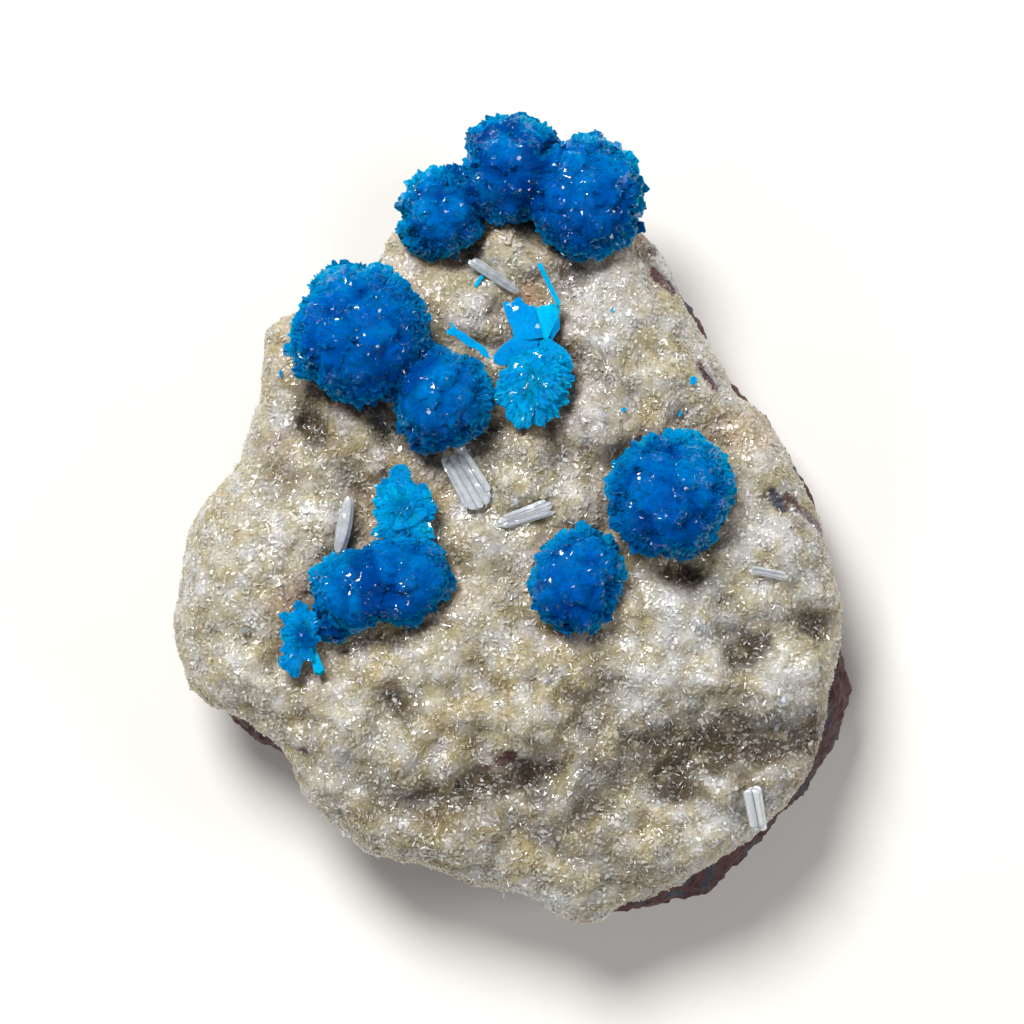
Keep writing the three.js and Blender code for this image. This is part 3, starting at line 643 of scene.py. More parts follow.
def prism(blades, foot, end, normal, width, thickness, taper, tone):
    """A six-sided prism that tapers to blunt ends."""
    along = end - foot
    across = along.cross(normal).normalized()
    face = across.cross(along).normalized()
    section = ((0.5, 0), (0.32, 0.5), (-0.32, 0.5), (-0.5, 0), (-0.32, -0.5), (0.32, -0.5))
    near_half = ((0, 0.35), (0.3 * taper, 0.75), (taper, 1))
    profile = near_half + tuple((1 - place, girth) for place, girth in reversed(near_half))
    rings, reach = [], []
    for place, girth in profile:
        centre = foot + along * place
        rings.append([centre + girth * (x * width * across + y * thickness * face) for x, y in section])
        reach += [place] * len(section)
    blades.add(rings, reach, tone, face)


def finished(piece, slot, *replaced):
    """Hands a piece over: it rides on the root, and the solid that it replaces is hidden. The slot of its
    finish is not used.
    """
    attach(piece, "root")
    if replaced:
        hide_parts(*replaced)


# ------------------------------------------------------------------------------------------------
# Node trees


def node(tree, kind, inputs=None, **settings):
    """Adds a node with its settings. Each input is set to a value, or linked to a socket or to the
    first output that another node has in use."""
    made = tree.nodes.new(kind)
    for key, value in settings.items():
        setattr(made, key, value)
    for key, value in (inputs or {}).items():
        if isinstance(value, bpy.types.Node):
            value = next(output for output in value.outputs if output.enabled)
        if isinstance(value, bpy.types.NodeSocket):
            tree.links.new(value, made.inputs[key])
        else:
            made.inputs[key].default_value = value
    return made


def geometry_tree(name, sockets):
    """A Geometry Nodes tree with a mesh in and out and the named inputs, and its group input node."""
    tree = bpy.data.node_groups.new(name, "GeometryNodeTree")
    tree.interface.new_socket("Geometry", in_out="INPUT", socket_type="NodeSocketGeometry")
    for label, kind in sockets.items():
        tree.interface.new_socket(label, in_out="INPUT", socket_type="NodeSocket" + kind)
    tree.interface.new_socket("Geometry", in_out="OUTPUT", socket_type="NodeSocketGeometry")
    return tree, tree.nodes.new("NodeGroupInput")


def end_tree(tree, given, geometry):
    """Ends a tree in Realize Instances and Set Material."""
    realized = node(tree, "GeometryNodeRealizeInstances", {"Geometry": geometry})
    painting = {"Geometry": realized, "Material": given.outputs["Material"]}
    painted = node(tree, "GeometryNodeSetMaterial", painting)
    node(tree, "NodeGroupOutput", {"Geometry": painted})


def run_tree(piece, tree, values):
    """Runs a tree on a piece, with its inputs set by their own identifiers."""
    modifier = piece.modifiers.new(tree.name, "NODES")
    modifier.node_group = tree
    for item in tree.interface.items_tree:
        if item.in_out == "INPUT" and item.name in values:
            modifier[item.identifier] = values[item.name]
    baked(piece)


def relief_tree():
    """Domed lumps with creases between them, small flat facets that each tilt their own way, and a broad
    unevenness, along the surface's normals. `crease` rises from 0 on a lump's top to 1 between lumps."""
    name = "Lumpy relief"
    if name in bpy.data.node_groups:
        return bpy.data.node_groups[name]
    sizes = ("Inset", "Lump", "Lump Height", "Bead", "Bead Height", "Wave", "Wave Height")
    tree, given = geometry_tree(name, {**dict.fromkeys(sizes, "Float"), "Material": "Material"})
    inset, lump_height, bead_height, wave_height = (
        given.outputs[size] for size in ("Inset", "Lump Height", "Bead Height", "Wave Height")
    )
    lumps_a_metre, beads_a_metre, waves_a_metre = (
        node(tree, "ShaderNodeMath", {0: 1.0, 1: given.outputs[size]}, operation="DIVIDE")
        for size in ("Lump", "Bead", "Wave")
    )
    place = node(tree, "GeometryNodeInputPosition")
    lump = node(tree, "ShaderNodeTexVoronoi", {"Vector": place, "Scale": lumps_a_metre}, feature="F1")
    dome = node(tree, "ShaderNodeMath", {0: lump, 1: lump, 2: -0.35}, operation="MULTIPLY_ADD")
    lumps = node(tree, "ShaderNodeMath", {0: dome, 1: lump_height}, operation="MULTIPLY")
    cell = node(tree, "ShaderNodeTexVoronoi", {"Vector": place, "Scale": beads_a_metre}, feature="F1")
    between = {0: place, 1: cell.outputs["Position"]}
    off_centre = node(tree, "ShaderNodeVectorMath", between, operation="SUBTRACT")
    in_cells = {0: off_centre, "Scale": beads_a_metre}
    measured = node(tree, "ShaderNodeVectorMath", in_cells, operation="SCALE")
    own_way = {0: cell.outputs["Color"], 1: (0.5, 0.5, 0.5)}
    slope = node(tree, "ShaderNodeVectorMath", own_way, operation="SUBTRACT")
    tilt = node(tree, "ShaderNodeVectorMath", {0: measured, 1: slope}, operation="DOT_PRODUCT")
    level = node(tree, "ShaderNodeSeparateXYZ", {0: slope})
    tilted = {0: tilt, 1: 2.5, 2: level}
    facet = node(tree, "ShaderNodeMath", tilted, operation="MULTIPLY_ADD")
    beads = node(tree, "ShaderNodeMath", {0: facet, 1: bead_height}, operation="MULTIPLY")
    broad = {"Vector": place, "Scale": waves_a_metre, "Detail": 3.0, "Roughness": 0.6}
    wave = node(tree, "ShaderNodeTexNoise", broad)
    centred = node(tree, "ShaderNodeMath", {0: wave, 1: 0.5}, operation="SUBTRACT")
    swell = node(tree, "ShaderNodeMath", {0: centred, 1: wave_height}, operation="MULTIPLY")
    both = node(tree, "ShaderNodeMath", {0: lumps, 1: beads}, operation="ADD")
    sunk = node(tree, "ShaderNodeMath", {0: both, 1: inset}, operation="ADD")
    rise = node(tree, "ShaderNodeMath", {0: swell, 1: sunk}, operation="SUBTRACT")
    open_side = node(tree, "GeometryNodeInputNamedAttribute", {"Name": "open_side"}, data_type="FLOAT")
    kept = node(tree, "ShaderNodeMath", {0: rise, 1: open_side}, operation="MULTIPLY")
    normal = node(tree, "GeometryNodeInputNormal")
    offset = node(tree, "ShaderNodeVectorMath", {0: normal, "Scale": kept}, operation="SCALE")
    moved = node(tree, "GeometryNodeSetPosition", {"Geometry": given.outputs["Geometry"], "Offset": offset})
    creased = node(tree, "ShaderNodeMath", {0: lump, 1: lump}, operation="MULTIPLY", use_clamp=True)
    kept_crease = node(
        tree,
        "GeometryNodeStoreNamedAttribute",
        {"Geometry": moved, "Name": "crease", "Value": creased},
        data_type="FLOAT",
        domain="POINT",
    )
    end_tree(tree, given, kept_crease)
    return tree


def cover_tree():
    """Crystals scattered over a surface where its `cover` says, each turned, leaned off the stored
    `heading` and sized at random, in proportion to the stored `stature`."""
    name = "Crystal cover"
    if name in bpy.data.node_groups:
        return bpy.data.node_groups[name]
    tree, given = geometry_tree(
        name,
        {
            "Crystals": "Collection",
            "Kinds": "Int",
            "Density": "Float",
            "Shortest": "Float",
            "Longest": "Float",
            "Bias": "Float",
            "Lean": "Float",
            "Keep Ground": "Bool",
            "Seed": "Int",
            "Material": "Material",
        },
    )
    surface, seed = given.outputs["Geometry"], given.outputs["Seed"]
    cover, stature = (
        node(tree, "GeometryNodeInputNamedAttribute", {"Name": stored}, data_type="FLOAT")
        for stored in ("cover", "stature")
    )
    heading = node(tree, "GeometryNodeInputNamedAttribute", {"Name": "heading"}, data_type="FLOAT_VECTOR")
    sway, spin, stretch = (
        node(
            tree,
            "FunctionNodeRandomValue",
            {"Min": low, "Max": high, "Seed": seed},
            data_type="FLOAT_VECTOR",
        )
        for low, high in (
            ((-1.0, -1.0, -1.0), (1.0, 1.0, 1.0)),
            ((0.0, 0.0, 0.0), (0.0, 0.0, math.tau)),
            ((0.7, 0.7, 0.8), (1.3, 1.3, 1.2)),
        )
    )
    chance = node(tree, "FunctionNodeRandomValue", {2: 0.0, 3: 1.0, "Seed": seed}, data_type="FLOAT")
    density = node(tree, "ShaderNodeMath", {0: given.outputs["Density"], 1: cover}, operation="MULTIPLY")
    scattered = node(
        tree,
        "GeometryNodeDistributePointsOnFaces",
        {"Mesh": surface, "Density": density, "Seed": seed},
        distribute_method="RANDOM",
    )
    swaying = {0: sway, "Scale": given.outputs["Lean"]}
    leaned = node(tree, "ShaderNodeVectorMath", swaying, operation="SCALE")
    along = node(tree, "ShaderNodeVectorMath", {0: heading, 1: leaned}, operation="ADD")
    aligned = node(tree, "FunctionNodeAlignRotationToVector", {"Vector": along}, axis="Z")
    spun = node(tree, "FunctionNodeEulerToRotation", {0: spin})
    turning = {"Rotation": aligned, "Rotate By": spun}
    turned = node(tree, "FunctionNodeRotateRotation", turning, rotation_space="LOCAL")
    biased = {0: chance, 1: given.outputs["Bias"]}
    skewed = node(tree, "ShaderNodeMath", biased, operation="POWER")
    lengths = {"Value": skewed, 3: given.outputs["Shortest"], 4: given.outputs["Longest"]}
    reach = node(tree, "ShaderNodeMapRange", lengths)
    grown_to = node(tree, "ShaderNodeMath", {0: reach, 1: stature}, operation="MULTIPLY")
    sized = node(tree, "ShaderNodeVectorMath", {0: stretch, "Scale": grown_to}, operation="SCALE")
    picked = {"Collection": given.outputs["Crystals"], "Separate Children": True, "Reset Children": True}
    shapes = node(tree, "GeometryNodeCollectionInfo", picked)
    last = node(tree, "ShaderNodeMath", {0: given.outputs["Kinds"], 1: 1.0}, operation="SUBTRACT")
    choice = node(tree, "FunctionNodeRandomValue", {4: 0, 5: last, "Seed": seed}, data_type="INT")
    grown = node(
        tree,
        "GeometryNodeInstanceOnPoints",
        {
            "Points": scattered,
            "Instance": shapes,
            "Pick Instance": True,
            "Instance Index": choice,
            "Rotation": turned,
            "Scale": sized,
        },
    )
    toned = node(
        tree,
        "GeometryNodeStoreNamedAttribute",
        {"Geometry": grown, "Name": "tone", "Value": chance},
        data_type="FLOAT",
        domain="INSTANCE",
    )
    kept = {"Switch": given.outputs["Keep Ground"], "True": surface}
    ground = node(tree, "GeometryNodeSwitch", kept, input_type="GEOMETRY")
    joined = node(tree, "GeometryNodeJoinGeometry", {"Geometry": toned})
    tree.links.new(ground.outputs["Output"], joined.inputs["Geometry"])
    end_tree(tree, given, joined)
    return tree


def crystal_shape(name, corners, top):
    """A closed crystal of unit length, its `tip` rising from 0 at the foot to 1 at its top."""
    work = bmesh.new()
    for corner in corners:
        work.verts.new(corner)
    bmesh.ops.convex_hull(work, input=work.verts)
    bmesh.ops.recalc_face_normals(work, faces=work.faces)
    mesh = bpy.data.meshes.new(name)
    work.to_mesh(mesh)
    work.free()
    store(mesh, "tip", np.clip(points_of(mesh)[:, 2] / top, 0, 1))
    return bpy.data.objects.new(name, mesh)


def box_corners(half_width, half_depth, z):
    return [(sx * half_width, sy * half_depth, z) for sx in (-1, 1) for sy in (-1, 1)]


def shape_collection(name, shapes):
    """A collection of crystal shapes to pick from, kept out of the scene."""
    if name in bpy.data.collections:
        return bpy.data.collections[name]
    collection = bpy.data.collections.new(name)
    for i, (corners, top) in enumerate(shapes):
        collection.objects.link(crystal_shape(f"{name} {i}", corners, top))
    return collection


def druse_shapes():
    """Small stilbite crystals, four to eight faces each: stubby grains, chisels and a few narrow laths."""
    foot = -0.35
    grain = [(0.5, 0.1, foot), (-0.35, 0.4, foot), (-0.2, -0.45, foot), (0.05, 0, 0.45)]
    shard = [(0.55, -0.15, foot), (-0.4, 0.35, foot), (-0.35, -0.3, foot), (0.3, 0.1, 0.4)]
    chisel = box_corners(0.4, 0.28, foot) + [(-0.26, 0.03, 0.35), (0.24, -0.03, 0.5)]
    lath_ends = ((-0.5, 0.07, foot), (-0.35, 0.07, foot), (0.9, 0.07, 0.42), (1.0, 0.05, 0.34))
    lath = [(x, side * half, z) for x, half, z in lath_ends for side in (-1, 1)]
    crumb = box_corners(0.2, 0.3, foot) + [(-0.16, -0.1, 0.2), (0.06, 0.22, 0.34), (0.2, -0.2, 0.12)]
    picked = (grain, chisel, crumb, lath, shard, chisel, crumb)
    return [(corners, 0.3 if corners is lath else 1.0) for corners in picked]


def cavansite_shapes():
    """Cavansite crystals, six to ten faces each: short stout wedges and teeth."""
    foot = -0.5
    wedge = box_corners(0.55, 0.4, foot) + [(-0.36, 0.06, 0.42), (0.34, -0.06, 0.5)]
    tooth = box_corners(0.48, 0.24, foot) + [(-0.1, 0.03, 0.5), (0.14, -0.02, 0.56)]
    chisel = box_corners(0.6, 0.3, foot) + [(-0.5, 0, 0.34), (0.02, 0.04, 0.5), (0.46, 0, 0.38)]
    return [(wedge, 1.0), (tooth, 1.0), (chisel, 1.0)]


def grow(piece, kind, shapes, settings, values):
    """Grows crystals of some shapes on a piece, as long and as leaning as the settings say."""
    from_settings = {"Shortest": settings.shortest, "Longest": settings.longest, "Lean": settings.lean}
    picked = {"Crystals": shape_collection(kind, shapes), "Kinds": len(shapes)}
    run_tree(piece, cover_tree(), {**picked, **from_settings, **values})


# ------------------------------------------------------------------------------------------------
# Materials


def finish_of(name, look, *settings):
    """A material made once: its look adds nodes and says what goes into the Principled shader."""
    if name in bpy.data.materials:
        return bpy.data.materials[name]
    material = bpy.data.materials.new(name)
    material.use_nodes = True
    tree = material.node_tree
    tree.nodes.clear()
    shader = node(tree, "ShaderNodeBsdfPrincipled", look(tree, *settings))
    node(tree, "ShaderNodeOutputMaterial", {"Surface": shader})
    return material


def floor_look(tree, settings):
    """Smooth matte paint, one even warm white."""
    return {"Base Color": settings.floor, "Roughness": 0.9}


def rock_colour(tree, place, settings):
    """Basalt's colour, mottled brown to purple-red with blue-grey streaks, and its fine specks."""
    mottle = node(tree, "ShaderNodeTexNoise", {"Vector": place, "Scale": 1 / (2.2 * MM), "Detail": 5.0})
    mottled = {0: mottle, 6: settings.brown, 7: settings.purple}
    base = node(tree, "ShaderNodeMix", mottled, data_type="RGBA")
    drawn_out = node(tree, "ShaderNodeMapping", {"Vector": place, "Scale": (1.0, 0.35, 1.6)})
    streak = node(tree, "ShaderNodeTexNoise", {"Vector": drawn_out, "Scale": 1 / (1.6 * MM), "Detail": 4.0})
    streaks = node(tree, "ShaderNodeMapRange", {0: streak, 1: 0.52, 2: 0.64})
    streaked = node(tree, "ShaderNodeMix", {0: streaks, 6: base, 7: settings.slate}, data_type="RGBA")
    speck = node(tree, "ShaderNodeTexNoise", {"Vector": place, "Scale": 1 / (0.35 * MM), "Detail": 3.0})
    specks = node(tree, "ShaderNodeMapRange", {0: speck, 1: 0.3, 2: 0.75, 3: 0.65, 4: 1.35})
    specked = {0: 1.0, 6: streaked, 7: specks}
    return node(tree, "ShaderNodeMix", specked, data_type="RGBA", blend_type="MULTIPLY"), speck


def basalt_look(tree, settings):
    """A dull purple-brown stone, mottled, with blue-grey streaks and fine pits."""
    place = node(tree, "ShaderNodeTexCoord").outputs["Object"]
    stone, speck = rock_colour(tree, place, settings)
    return {
        "Base Color": stone,
        "Roughness": node(tree, "ShaderNodeMapRange", {0: speck, 1: 0.3, 2: 0.7, 3: 0.5, 4: 0.85}),
        "Normal": node(tree, "ShaderNodeBump", {"Strength": 0.6, "Distance": 0.12 * MM, "Height": speck}),
    }


def ground_colour(tree, place, settings):
    """The druse's stains: cream and pale mottling broken by white frosting, ochre, peach and white
    stretches, and brown in the hollows and in the creases between the knobs: partly stain and partly
    painted shade."""
    mottle = node(tree, "ShaderNodeTexNoise", {"Vector": place, "Scale": 1 / (3.5 * MM), "Detail": 2.0})
    mottled = node(tree, "ShaderNodeMapRange", {0: mottle, 1: 0.35, 2: 0.65})
    creams = {0: mottled, 6: settings.cream, 7: settings.pale}
    stained = node(tree, "ShaderNodeMix", creams, data_type="RGBA")
    blotch = node(tree, "ShaderNodeTexNoise", {"Vector": place, "Scale": 1 / (1.8 * MM), "Detail": 2.0})
    frost = node(tree, "ShaderNodeAttribute", attribute_name="frost", attribute_type="GEOMETRY")
    blotched = {0: frost.outputs["Fac"], 1: 0.26, 2: blotch}
    crust = node(tree, "ShaderNodeMath", blotched, operation="MULTIPLY_ADD")
    frosting = node(tree, "ShaderNodeMapRange", {0: crust, 1: 0.42, 2: 0.72, 4: 0.7})
    stained = node(tree, "ShaderNodeMix", {0: frosting, 6: stained, 7: settings.frost}, data_type="RGBA")
    # Olive between the knobs and brown in the hollows and the listed creases are partly stain and partly
    # painted shade, where the valleys and the ground below the rosettes lie in shade.
    for name, low, high, strength, tint in (
        ("ochre", 0.75, 0.3, 0.65, settings.ochre),
        ("peach", 0.3, 0.55, 0.75, settings.peach),
        ("crease", 0.7, 0.35, 0.65, settings.olive),
        ("brown_stain_and_shade", 0.2, 0.4, 0.9, settings.brown),
    ):
        broken = node(tree, "ShaderNodeMapRange", {0: blotch, 1: low, 2: high, 4: strength})
        mask = node(tree, "ShaderNodeAttribute", attribute_name=name, attribute_type="GEOMETRY")
        amount = node(tree, "ShaderNodeMath", {0: mask.outputs["Fac"], 1: broken}, operation="MULTIPLY")
        stained = node(tree, "ShaderNodeMix", {0: amount, 6: stained, 7: tint}, data_type="RGBA")
    pit = node(tree, "ShaderNodeTexNoise", {"Vector": place, "Scale": 1 / (3.0 * MM), "Detail": 5.0})
    pits = node(tree, "ShaderNodeMapRange", {0: pit, 1: 0.56, 2: 0.76, 4: 0.5})
    return node(tree, "ShaderNodeMix", {0: pits, 6: stained, 7: settings.brown}, data_type="RGBA")


def soft_normal(tree, amount):
    """The lie of the ground under a crystal, mixed into its own faces' normals: light that wanders
    through many translucent crystals shades them as one soft mass, and only the clear coat glints
    face by face."""
    ground = node(tree, "ShaderNodeAttribute", attribute_name="growth", attribute_type="GEOMETRY")
    face = node(tree, "ShaderNodeNewGeometry")
    own = {0: face.outputs["Normal"], "Scale": 1 - amount}
    lie = {0: ground.outputs["Vector"], "Scale": amount}
    shares = [node(tree, "ShaderNodeVectorMath", part, operation="SCALE") for part in (own, lie)]
    both = node(tree, "ShaderNodeVectorMath", dict(enumerate(shares)), operation="ADD")
    return node(tree, "ShaderNodeVectorMath", {0: both}, operation="NORMALIZE")


def sparkle(tree, place, lie, spacing, tilt, bare):
    """The normals of small flat facets, each tilted its own way off the lie of the surface, and which
    of them a clear coat covers: all but a share stay bare, so that the coat's reflections break into
    separate glints."""
    cell = node(tree, "ShaderNodeTexVoronoi", {"Vector": place, "Scale": 1 / spacing}, feature="F1")
    own_way = {0: cell.outputs["Color"], 1: (0.5, 0.5, 0.5)}
    lean = node(tree, "ShaderNodeVectorMath", own_way, operation="SUBTRACT")
    leaned = node(tree, "ShaderNodeVectorMath", {0: lean, "Scale": tilt}, operation="SCALE")
    facet = node(tree, "ShaderNodeVectorMath", {0: lie, 1: leaned}, operation="ADD")
    normal = node(tree, "ShaderNodeVectorMath", {0: facet}, operation="NORMALIZE")
    own = node(tree, "ShaderNodeSeparateColor", {0: cell.outputs["Color"]})
    return normal, node(tree, "ShaderNodeMath", {0: own, 1: bare}, operation="GREATER_THAN")


def crust_look(tree, settings, rock_settings):
    """Cream sugary mineral, stained ochre and brown in its hollows, waxy to glassy."""
    place = node(tree, "ShaderNodeTexCoord").outputs["Object"]
    grain = node(tree, "ShaderNodeTexVoronoi", {"Vector": place, "Scale": 1 / (0.35 * MM)}, feature="F1")
    shade = node(tree, "ShaderNodeMapRange", {0: grain, 1: 0.1, 2: 0.8, 3: 1.04, 4: 0.92})
    shaded = {0: 1.0, 6: ground_colour(tree, place, settings), 7: shade}
    toned = node(tree, "ShaderNodeMix", shaded, data_type="RGBA", blend_type="MULTIPLY")
    bare = node(tree, "ShaderNodeAttribute", attribute_name="bare", attribute_type="GEOMETRY")
    stone = rock_colour(tree, place, rock_settings)[0]
    windowed = {0: bare.outputs["Fac"], 6: toned, 7: stone}
    swap = node(tree, "ShaderNodeTexNoise", {"Vector": place, "Scale": 1 / (1.2 * MM), "Detail": 1.0})
    ways = {0: node(tree, "ShaderNodeMath", {0: swap, 1: 0.5}, operation="GREATER_THAN")}
    for side, turn in ((4, 0.6), (5, -0.9)):
        drawn_out = {"Vector": place, "Rotation": (0.0, 0.0, turn), "Scale": (0.35, 1.0, 1.0)}
        ways[side] = node(tree, "ShaderNodeMapping", drawn_out)
    needles = node(tree, "ShaderNodeMix", ways, data_type="VECTOR")
    face = node(tree, "ShaderNodeNewGeometry").outputs["Normal"]
    facets, coated = sparkle(tree, needles, face, 0.22 * MM, 0.85, 0.6)
    return {
        "Base Color": node(tree, "ShaderNodeMix", windowed, data_type="RGBA"),
        "Roughness": node(tree, "ShaderNodeMapRange", {0: grain, 3: 0.35, 4: 0.65}),
        "Normal": node(tree, "ShaderNodeBump", {"Strength": 0.35, "Distance": 0.12 * MM, "Height": grain}),
        "Coat Normal": facets,
        "Coat Weight": coated,
        "Coat Roughness": 0.08,
        "Subsurface Weight": 1.0,
        "Subsurface Radius": (1.0, 0.85, 0.7),
        "Subsurface Scale": 2.0 * MM,
    }


def druse_crystal_look(tree, settings):
    """Clear to milky crystals, each a little different, with glassy faces that glint."""
    place = node(tree, "ShaderNodeTexCoord").outputs["Object"]
    tone, tip = (
        node(tree, "ShaderNodeAttribute", attribute_name=name, attribute_type="GEOMETRY").outputs["Fac"]
        for name in ("tone", "tip")
    )
    lath = node(tree, "ShaderNodeMapRange", {0: tip, 1: 0.5, 2: 0.9, 4: 0.95})
    grain = node(tree, "ShaderNodeMapRange", {0: tone, 1: 0.7, 2: 0.95, 4: 0.2})
    whiter = node(tree, "ShaderNodeMath", {0: lath, 1: grain}, operation="MAXIMUM")
    whitened = {0: whiter, 6: ground_colour(tree, place, settings), 7: settings.glassy}
    ended = node(tree, "ShaderNodeMix", whitened, data_type="RGBA")
    toned = {0: 1.0, 6: ended, 7: node(tree, "ShaderNodeMapRange", {0: tone, 3: 0.9, 4: 1.08})}
    return {
        "Base Color": node(tree, "ShaderNodeMix", toned, data_type="RGBA", blend_type="MULTIPLY"),
        "Roughness": node(tree, "ShaderNodeMapRange", {0: tone, 3: 0.08, 4: 0.35}),
        "Normal": soft_normal(tree, 0.9),
        "Coat Normal": soft_normal(tree, 0.5),
        "Coat Weight": 0.7,
        "Coat Roughness": 0.08,
        "IOR": 1.5,
        "Subsurface Weight": 0.8,
        "Subsurface Radius": (1.0, 0.85, 0.7),
        "Subsurface Scale": 0.2 * MM,
    }


def cavansite_look(tree, settings):
    """Deep vivid blue, lighter and greener where the thin ends let light through, as painted light, and
    paler on the north side and at the rims, painted light as well; darker in the creases, the notches,
    between hearts and on the undersides, as painted shade.
    """
    place = node(tree, "ShaderNodeTexCoord").outputs["Object"]
    tone, tip, pale, crease = (
        node(tree, "ShaderNodeAttribute", attribute_name=name, attribute_type="GEOMETRY").outputs["Fac"]
        for name in ("tone", "tip", "pale", "crease")
    )
    cloud = node(tree, "ShaderNodeTexNoise", {"Vector": place, "Scale": 1 / (2.4 * MM), "Detail": 3.0})
    clouds = node(tree, "ShaderNodeMapRange", {0: cloud, 1: 0.35, 2: 0.65, 3: -0.12, 4: 0.22})
    paled = node(tree, "ShaderNodeMath", {0: pale, 1: clouds}, operation="ADD")
    jitter = node(tree, "ShaderNodeMapRange", {0: tone, 3: -0.05, 4: 0.05})
    paler = node(tree, "ShaderNodeMath", {0: paled, 1: jitter}, operation="ADD", use_clamp=True)
    palest = node(tree, "ShaderNodeMath", {0: paled, 1: 1.0}, operation="SUBTRACT", use_clamp=True)
    # Painted shade and light: the darkest blue darkens the creases, notches and undersides, and the paler
    # blues and the tip colour stand in for light through thin ends and rims and on the north side.
    sunk = node(tree, "ShaderNodeMapRange", {0: crease, 1: 0.1, 2: 0.7, 4: 0.85})
    ended = node(tree, "ShaderNodeMapRange", {0: tip, 1: 0.1, 2: 0.7, 4: 0.25})
    blue = settings.blue
    for amount, tint in (
        (paler, settings.azure), (palest, settings.cyan), (sunk, settings.shaded_blue), (ended, settings.tip)
    ):
        blue = node(tree, "ShaderNodeMix", {0: amount, 6: blue, 7: tint}, data_type="RGBA")
    grain = node(tree, "ShaderNodeTexNoise", {"Vector": place, "Scale": 1 / (0.35 * MM), "Detail": 2.0})
    mottle = node(tree, "ShaderNodeMapRange", {0: grain, 1: 0.3, 2: 0.7, 3: 0.86, 4: 1.1})
    mottled = {0: 1.0, 6: blue, 7: mottle}
    pitted = {"Strength": 0.3, "Distance": 0.1 * MM, "Height": grain, "Normal": soft_normal(tree, 0.92)}
    facets, coated = sparkle(tree, place, soft_normal(tree, 0.95), 0.36 * MM, 1.0, 0.35)
    sheen = node(tree, "ShaderNodeTexNoise", {"Vector": place, "Scale": 1 / (1.7 * MM), "Detail": 1.0})
    sheens = node(tree, "ShaderNodeMapRange", {0: sheen, 1: 0.49, 2: 0.53})
    return {
        "Base Color": node(tree, "ShaderNodeMix", mottled, data_type="RGBA", blend_type="MULTIPLY"),
        "Roughness": node(tree, "ShaderNodeMapRange", {0: tone, 3: 0.16, 4: 0.4}),
        "Normal": node(tree, "ShaderNodeBump", pitted),
        "Coat Normal": facets,
        "Coat Weight": node(tree, "ShaderNodeMath", {0: sheens, 1: coated}, operation="MULTIPLY"),
        "Coat Roughness": 0.02,
        "IOR": 1.54,
        "Specular IOR Level": 0.0,
        "Subsurface Weight": 0.8,
        "Subsurface Radius": (1.0, 1.0, 1.0),
        "Subsurface Scale": 0.3 * MM,
    }


def cavansite_finish(settings):
    return finish_of("Cavansite blades, grown", cavansite_look, settings)


def clear_blade_look(tree, settings, milky):
    """Clear with white clouds, and stepped faces that catch the light one by one."""
    place = node(tree, "ShaderNodeTexCoord").outputs["Object"]
    cloud = node(tree, "ShaderNodeTexNoise", {"Vector": place, "Scale": 1 / (0.6 * MM), "Detail": 3.0})
    clouds = node(tree, "ShaderNodeMapRange", {0: cloud, 1: 0.35, 2: 0.6, 3: 0.8 * milky})
    clouded = {0: clouds, 6: settings.clear, 7: settings.milky}
    face = node(tree, "ShaderNodeNewGeometry").outputs["Normal"]
    facets, coated = sparkle(tree, place, face, 0.3 * MM, 1.0, 0.4)
    return {
        "Base Color": node(tree, "ShaderNodeMix", clouded, data_type="RGBA"),
        "Roughness": node(tree, "ShaderNodeMapRange", {0: cloud, 3: 0.05, 4: 0.3}),
        "Coat Normal": facets,
        "Coat Weight": coated,
        "Coat Roughness": 0.03,
        "IOR": 1.5,
        "Transmission Weight": 0.9 - 0.7 * milky,
        "Subsurface Weight": 0.3 + 0.6 * milky,
        "Subsurface Radius": (1.0, 1.0, 1.0),
        "Subsurface Scale": 0.5 * MM,
    }


def clear_blade_finish(settings, milky):
    return finish_of(f"Stilbite blades, grown, {milky:.0%} milky", clear_blade_look, settings, milky)


# ------------------------------------------------------------------------------------------------
# Operators


class CAVANSITE_OT_stage(bpy.types.Operator):
    """Sets the floor, the lights and the camera"""

    bl_idname = "cavansite.stage"
    bl_label = "Stage"

    def execute(self, context):
        scene = context.scene
        settings = scene.cavansite_stage
        half = 1.5
        corners = [(-half, -half, 0), (half, -half, 0), (half, half, 0), (-half, half, 0)]
        mesh = bpy.data.meshes.new("floor")
        mesh.from_pydata(corners, [], [(0, 1, 2, 3)])
        mesh.materials.append(finish_of("Floor, matte paint", floor_look, settings))
        new_piece("floor", mesh)
        for name, energy, size, place in (
            ("key_light", settings.key_energy, 0.26, (-0.18, 0.36, 0.54)),
            ("fill_light", settings.fill_energy, 0.2, (-0.24, -0.44, 0.4)),
            ("side_light", settings.side_energy, 0.2, (0.5, -0.05, 0.36)),
        ):
            light = bpy.data.lights.new(name, "AREA")
            light.energy = energy
            light.shape = "DISK"
            light.size = size
            lamp = bpy.data.objects.new(name, light)
            lamp.location = place
            aim = Vector((0, 0, 0.01)) - Vector(place)
            lamp.rotation_euler = aim.to_track_quat("-Z", "Y").to_euler()
            scene.collection.objects.link(lamp)
        scene.world = bpy.data.worlds.new("room")
        scene.world.use_nodes = True
        room = scene.world.node_tree.nodes["Background"].inputs
        room["Color"].default_value = linear("#F4F6FA")
        room["Strength"].default_value = settings.sky
        scene.view_settings.view_transform = "Standard"
        lens = bpy.data.cameras.new("camera")
        lens.lens = 150
        lens.sensor_width = 36
        lens.clip_start = 0.01
        scene.camera = bpy.data.objects.new("camera", lens)
        scene.camera.location = (settings.camera_x, settings.camera_y, settings.camera_height)
        scene.collection.objects.link(scene.camera)
        return {"FINISHED"}


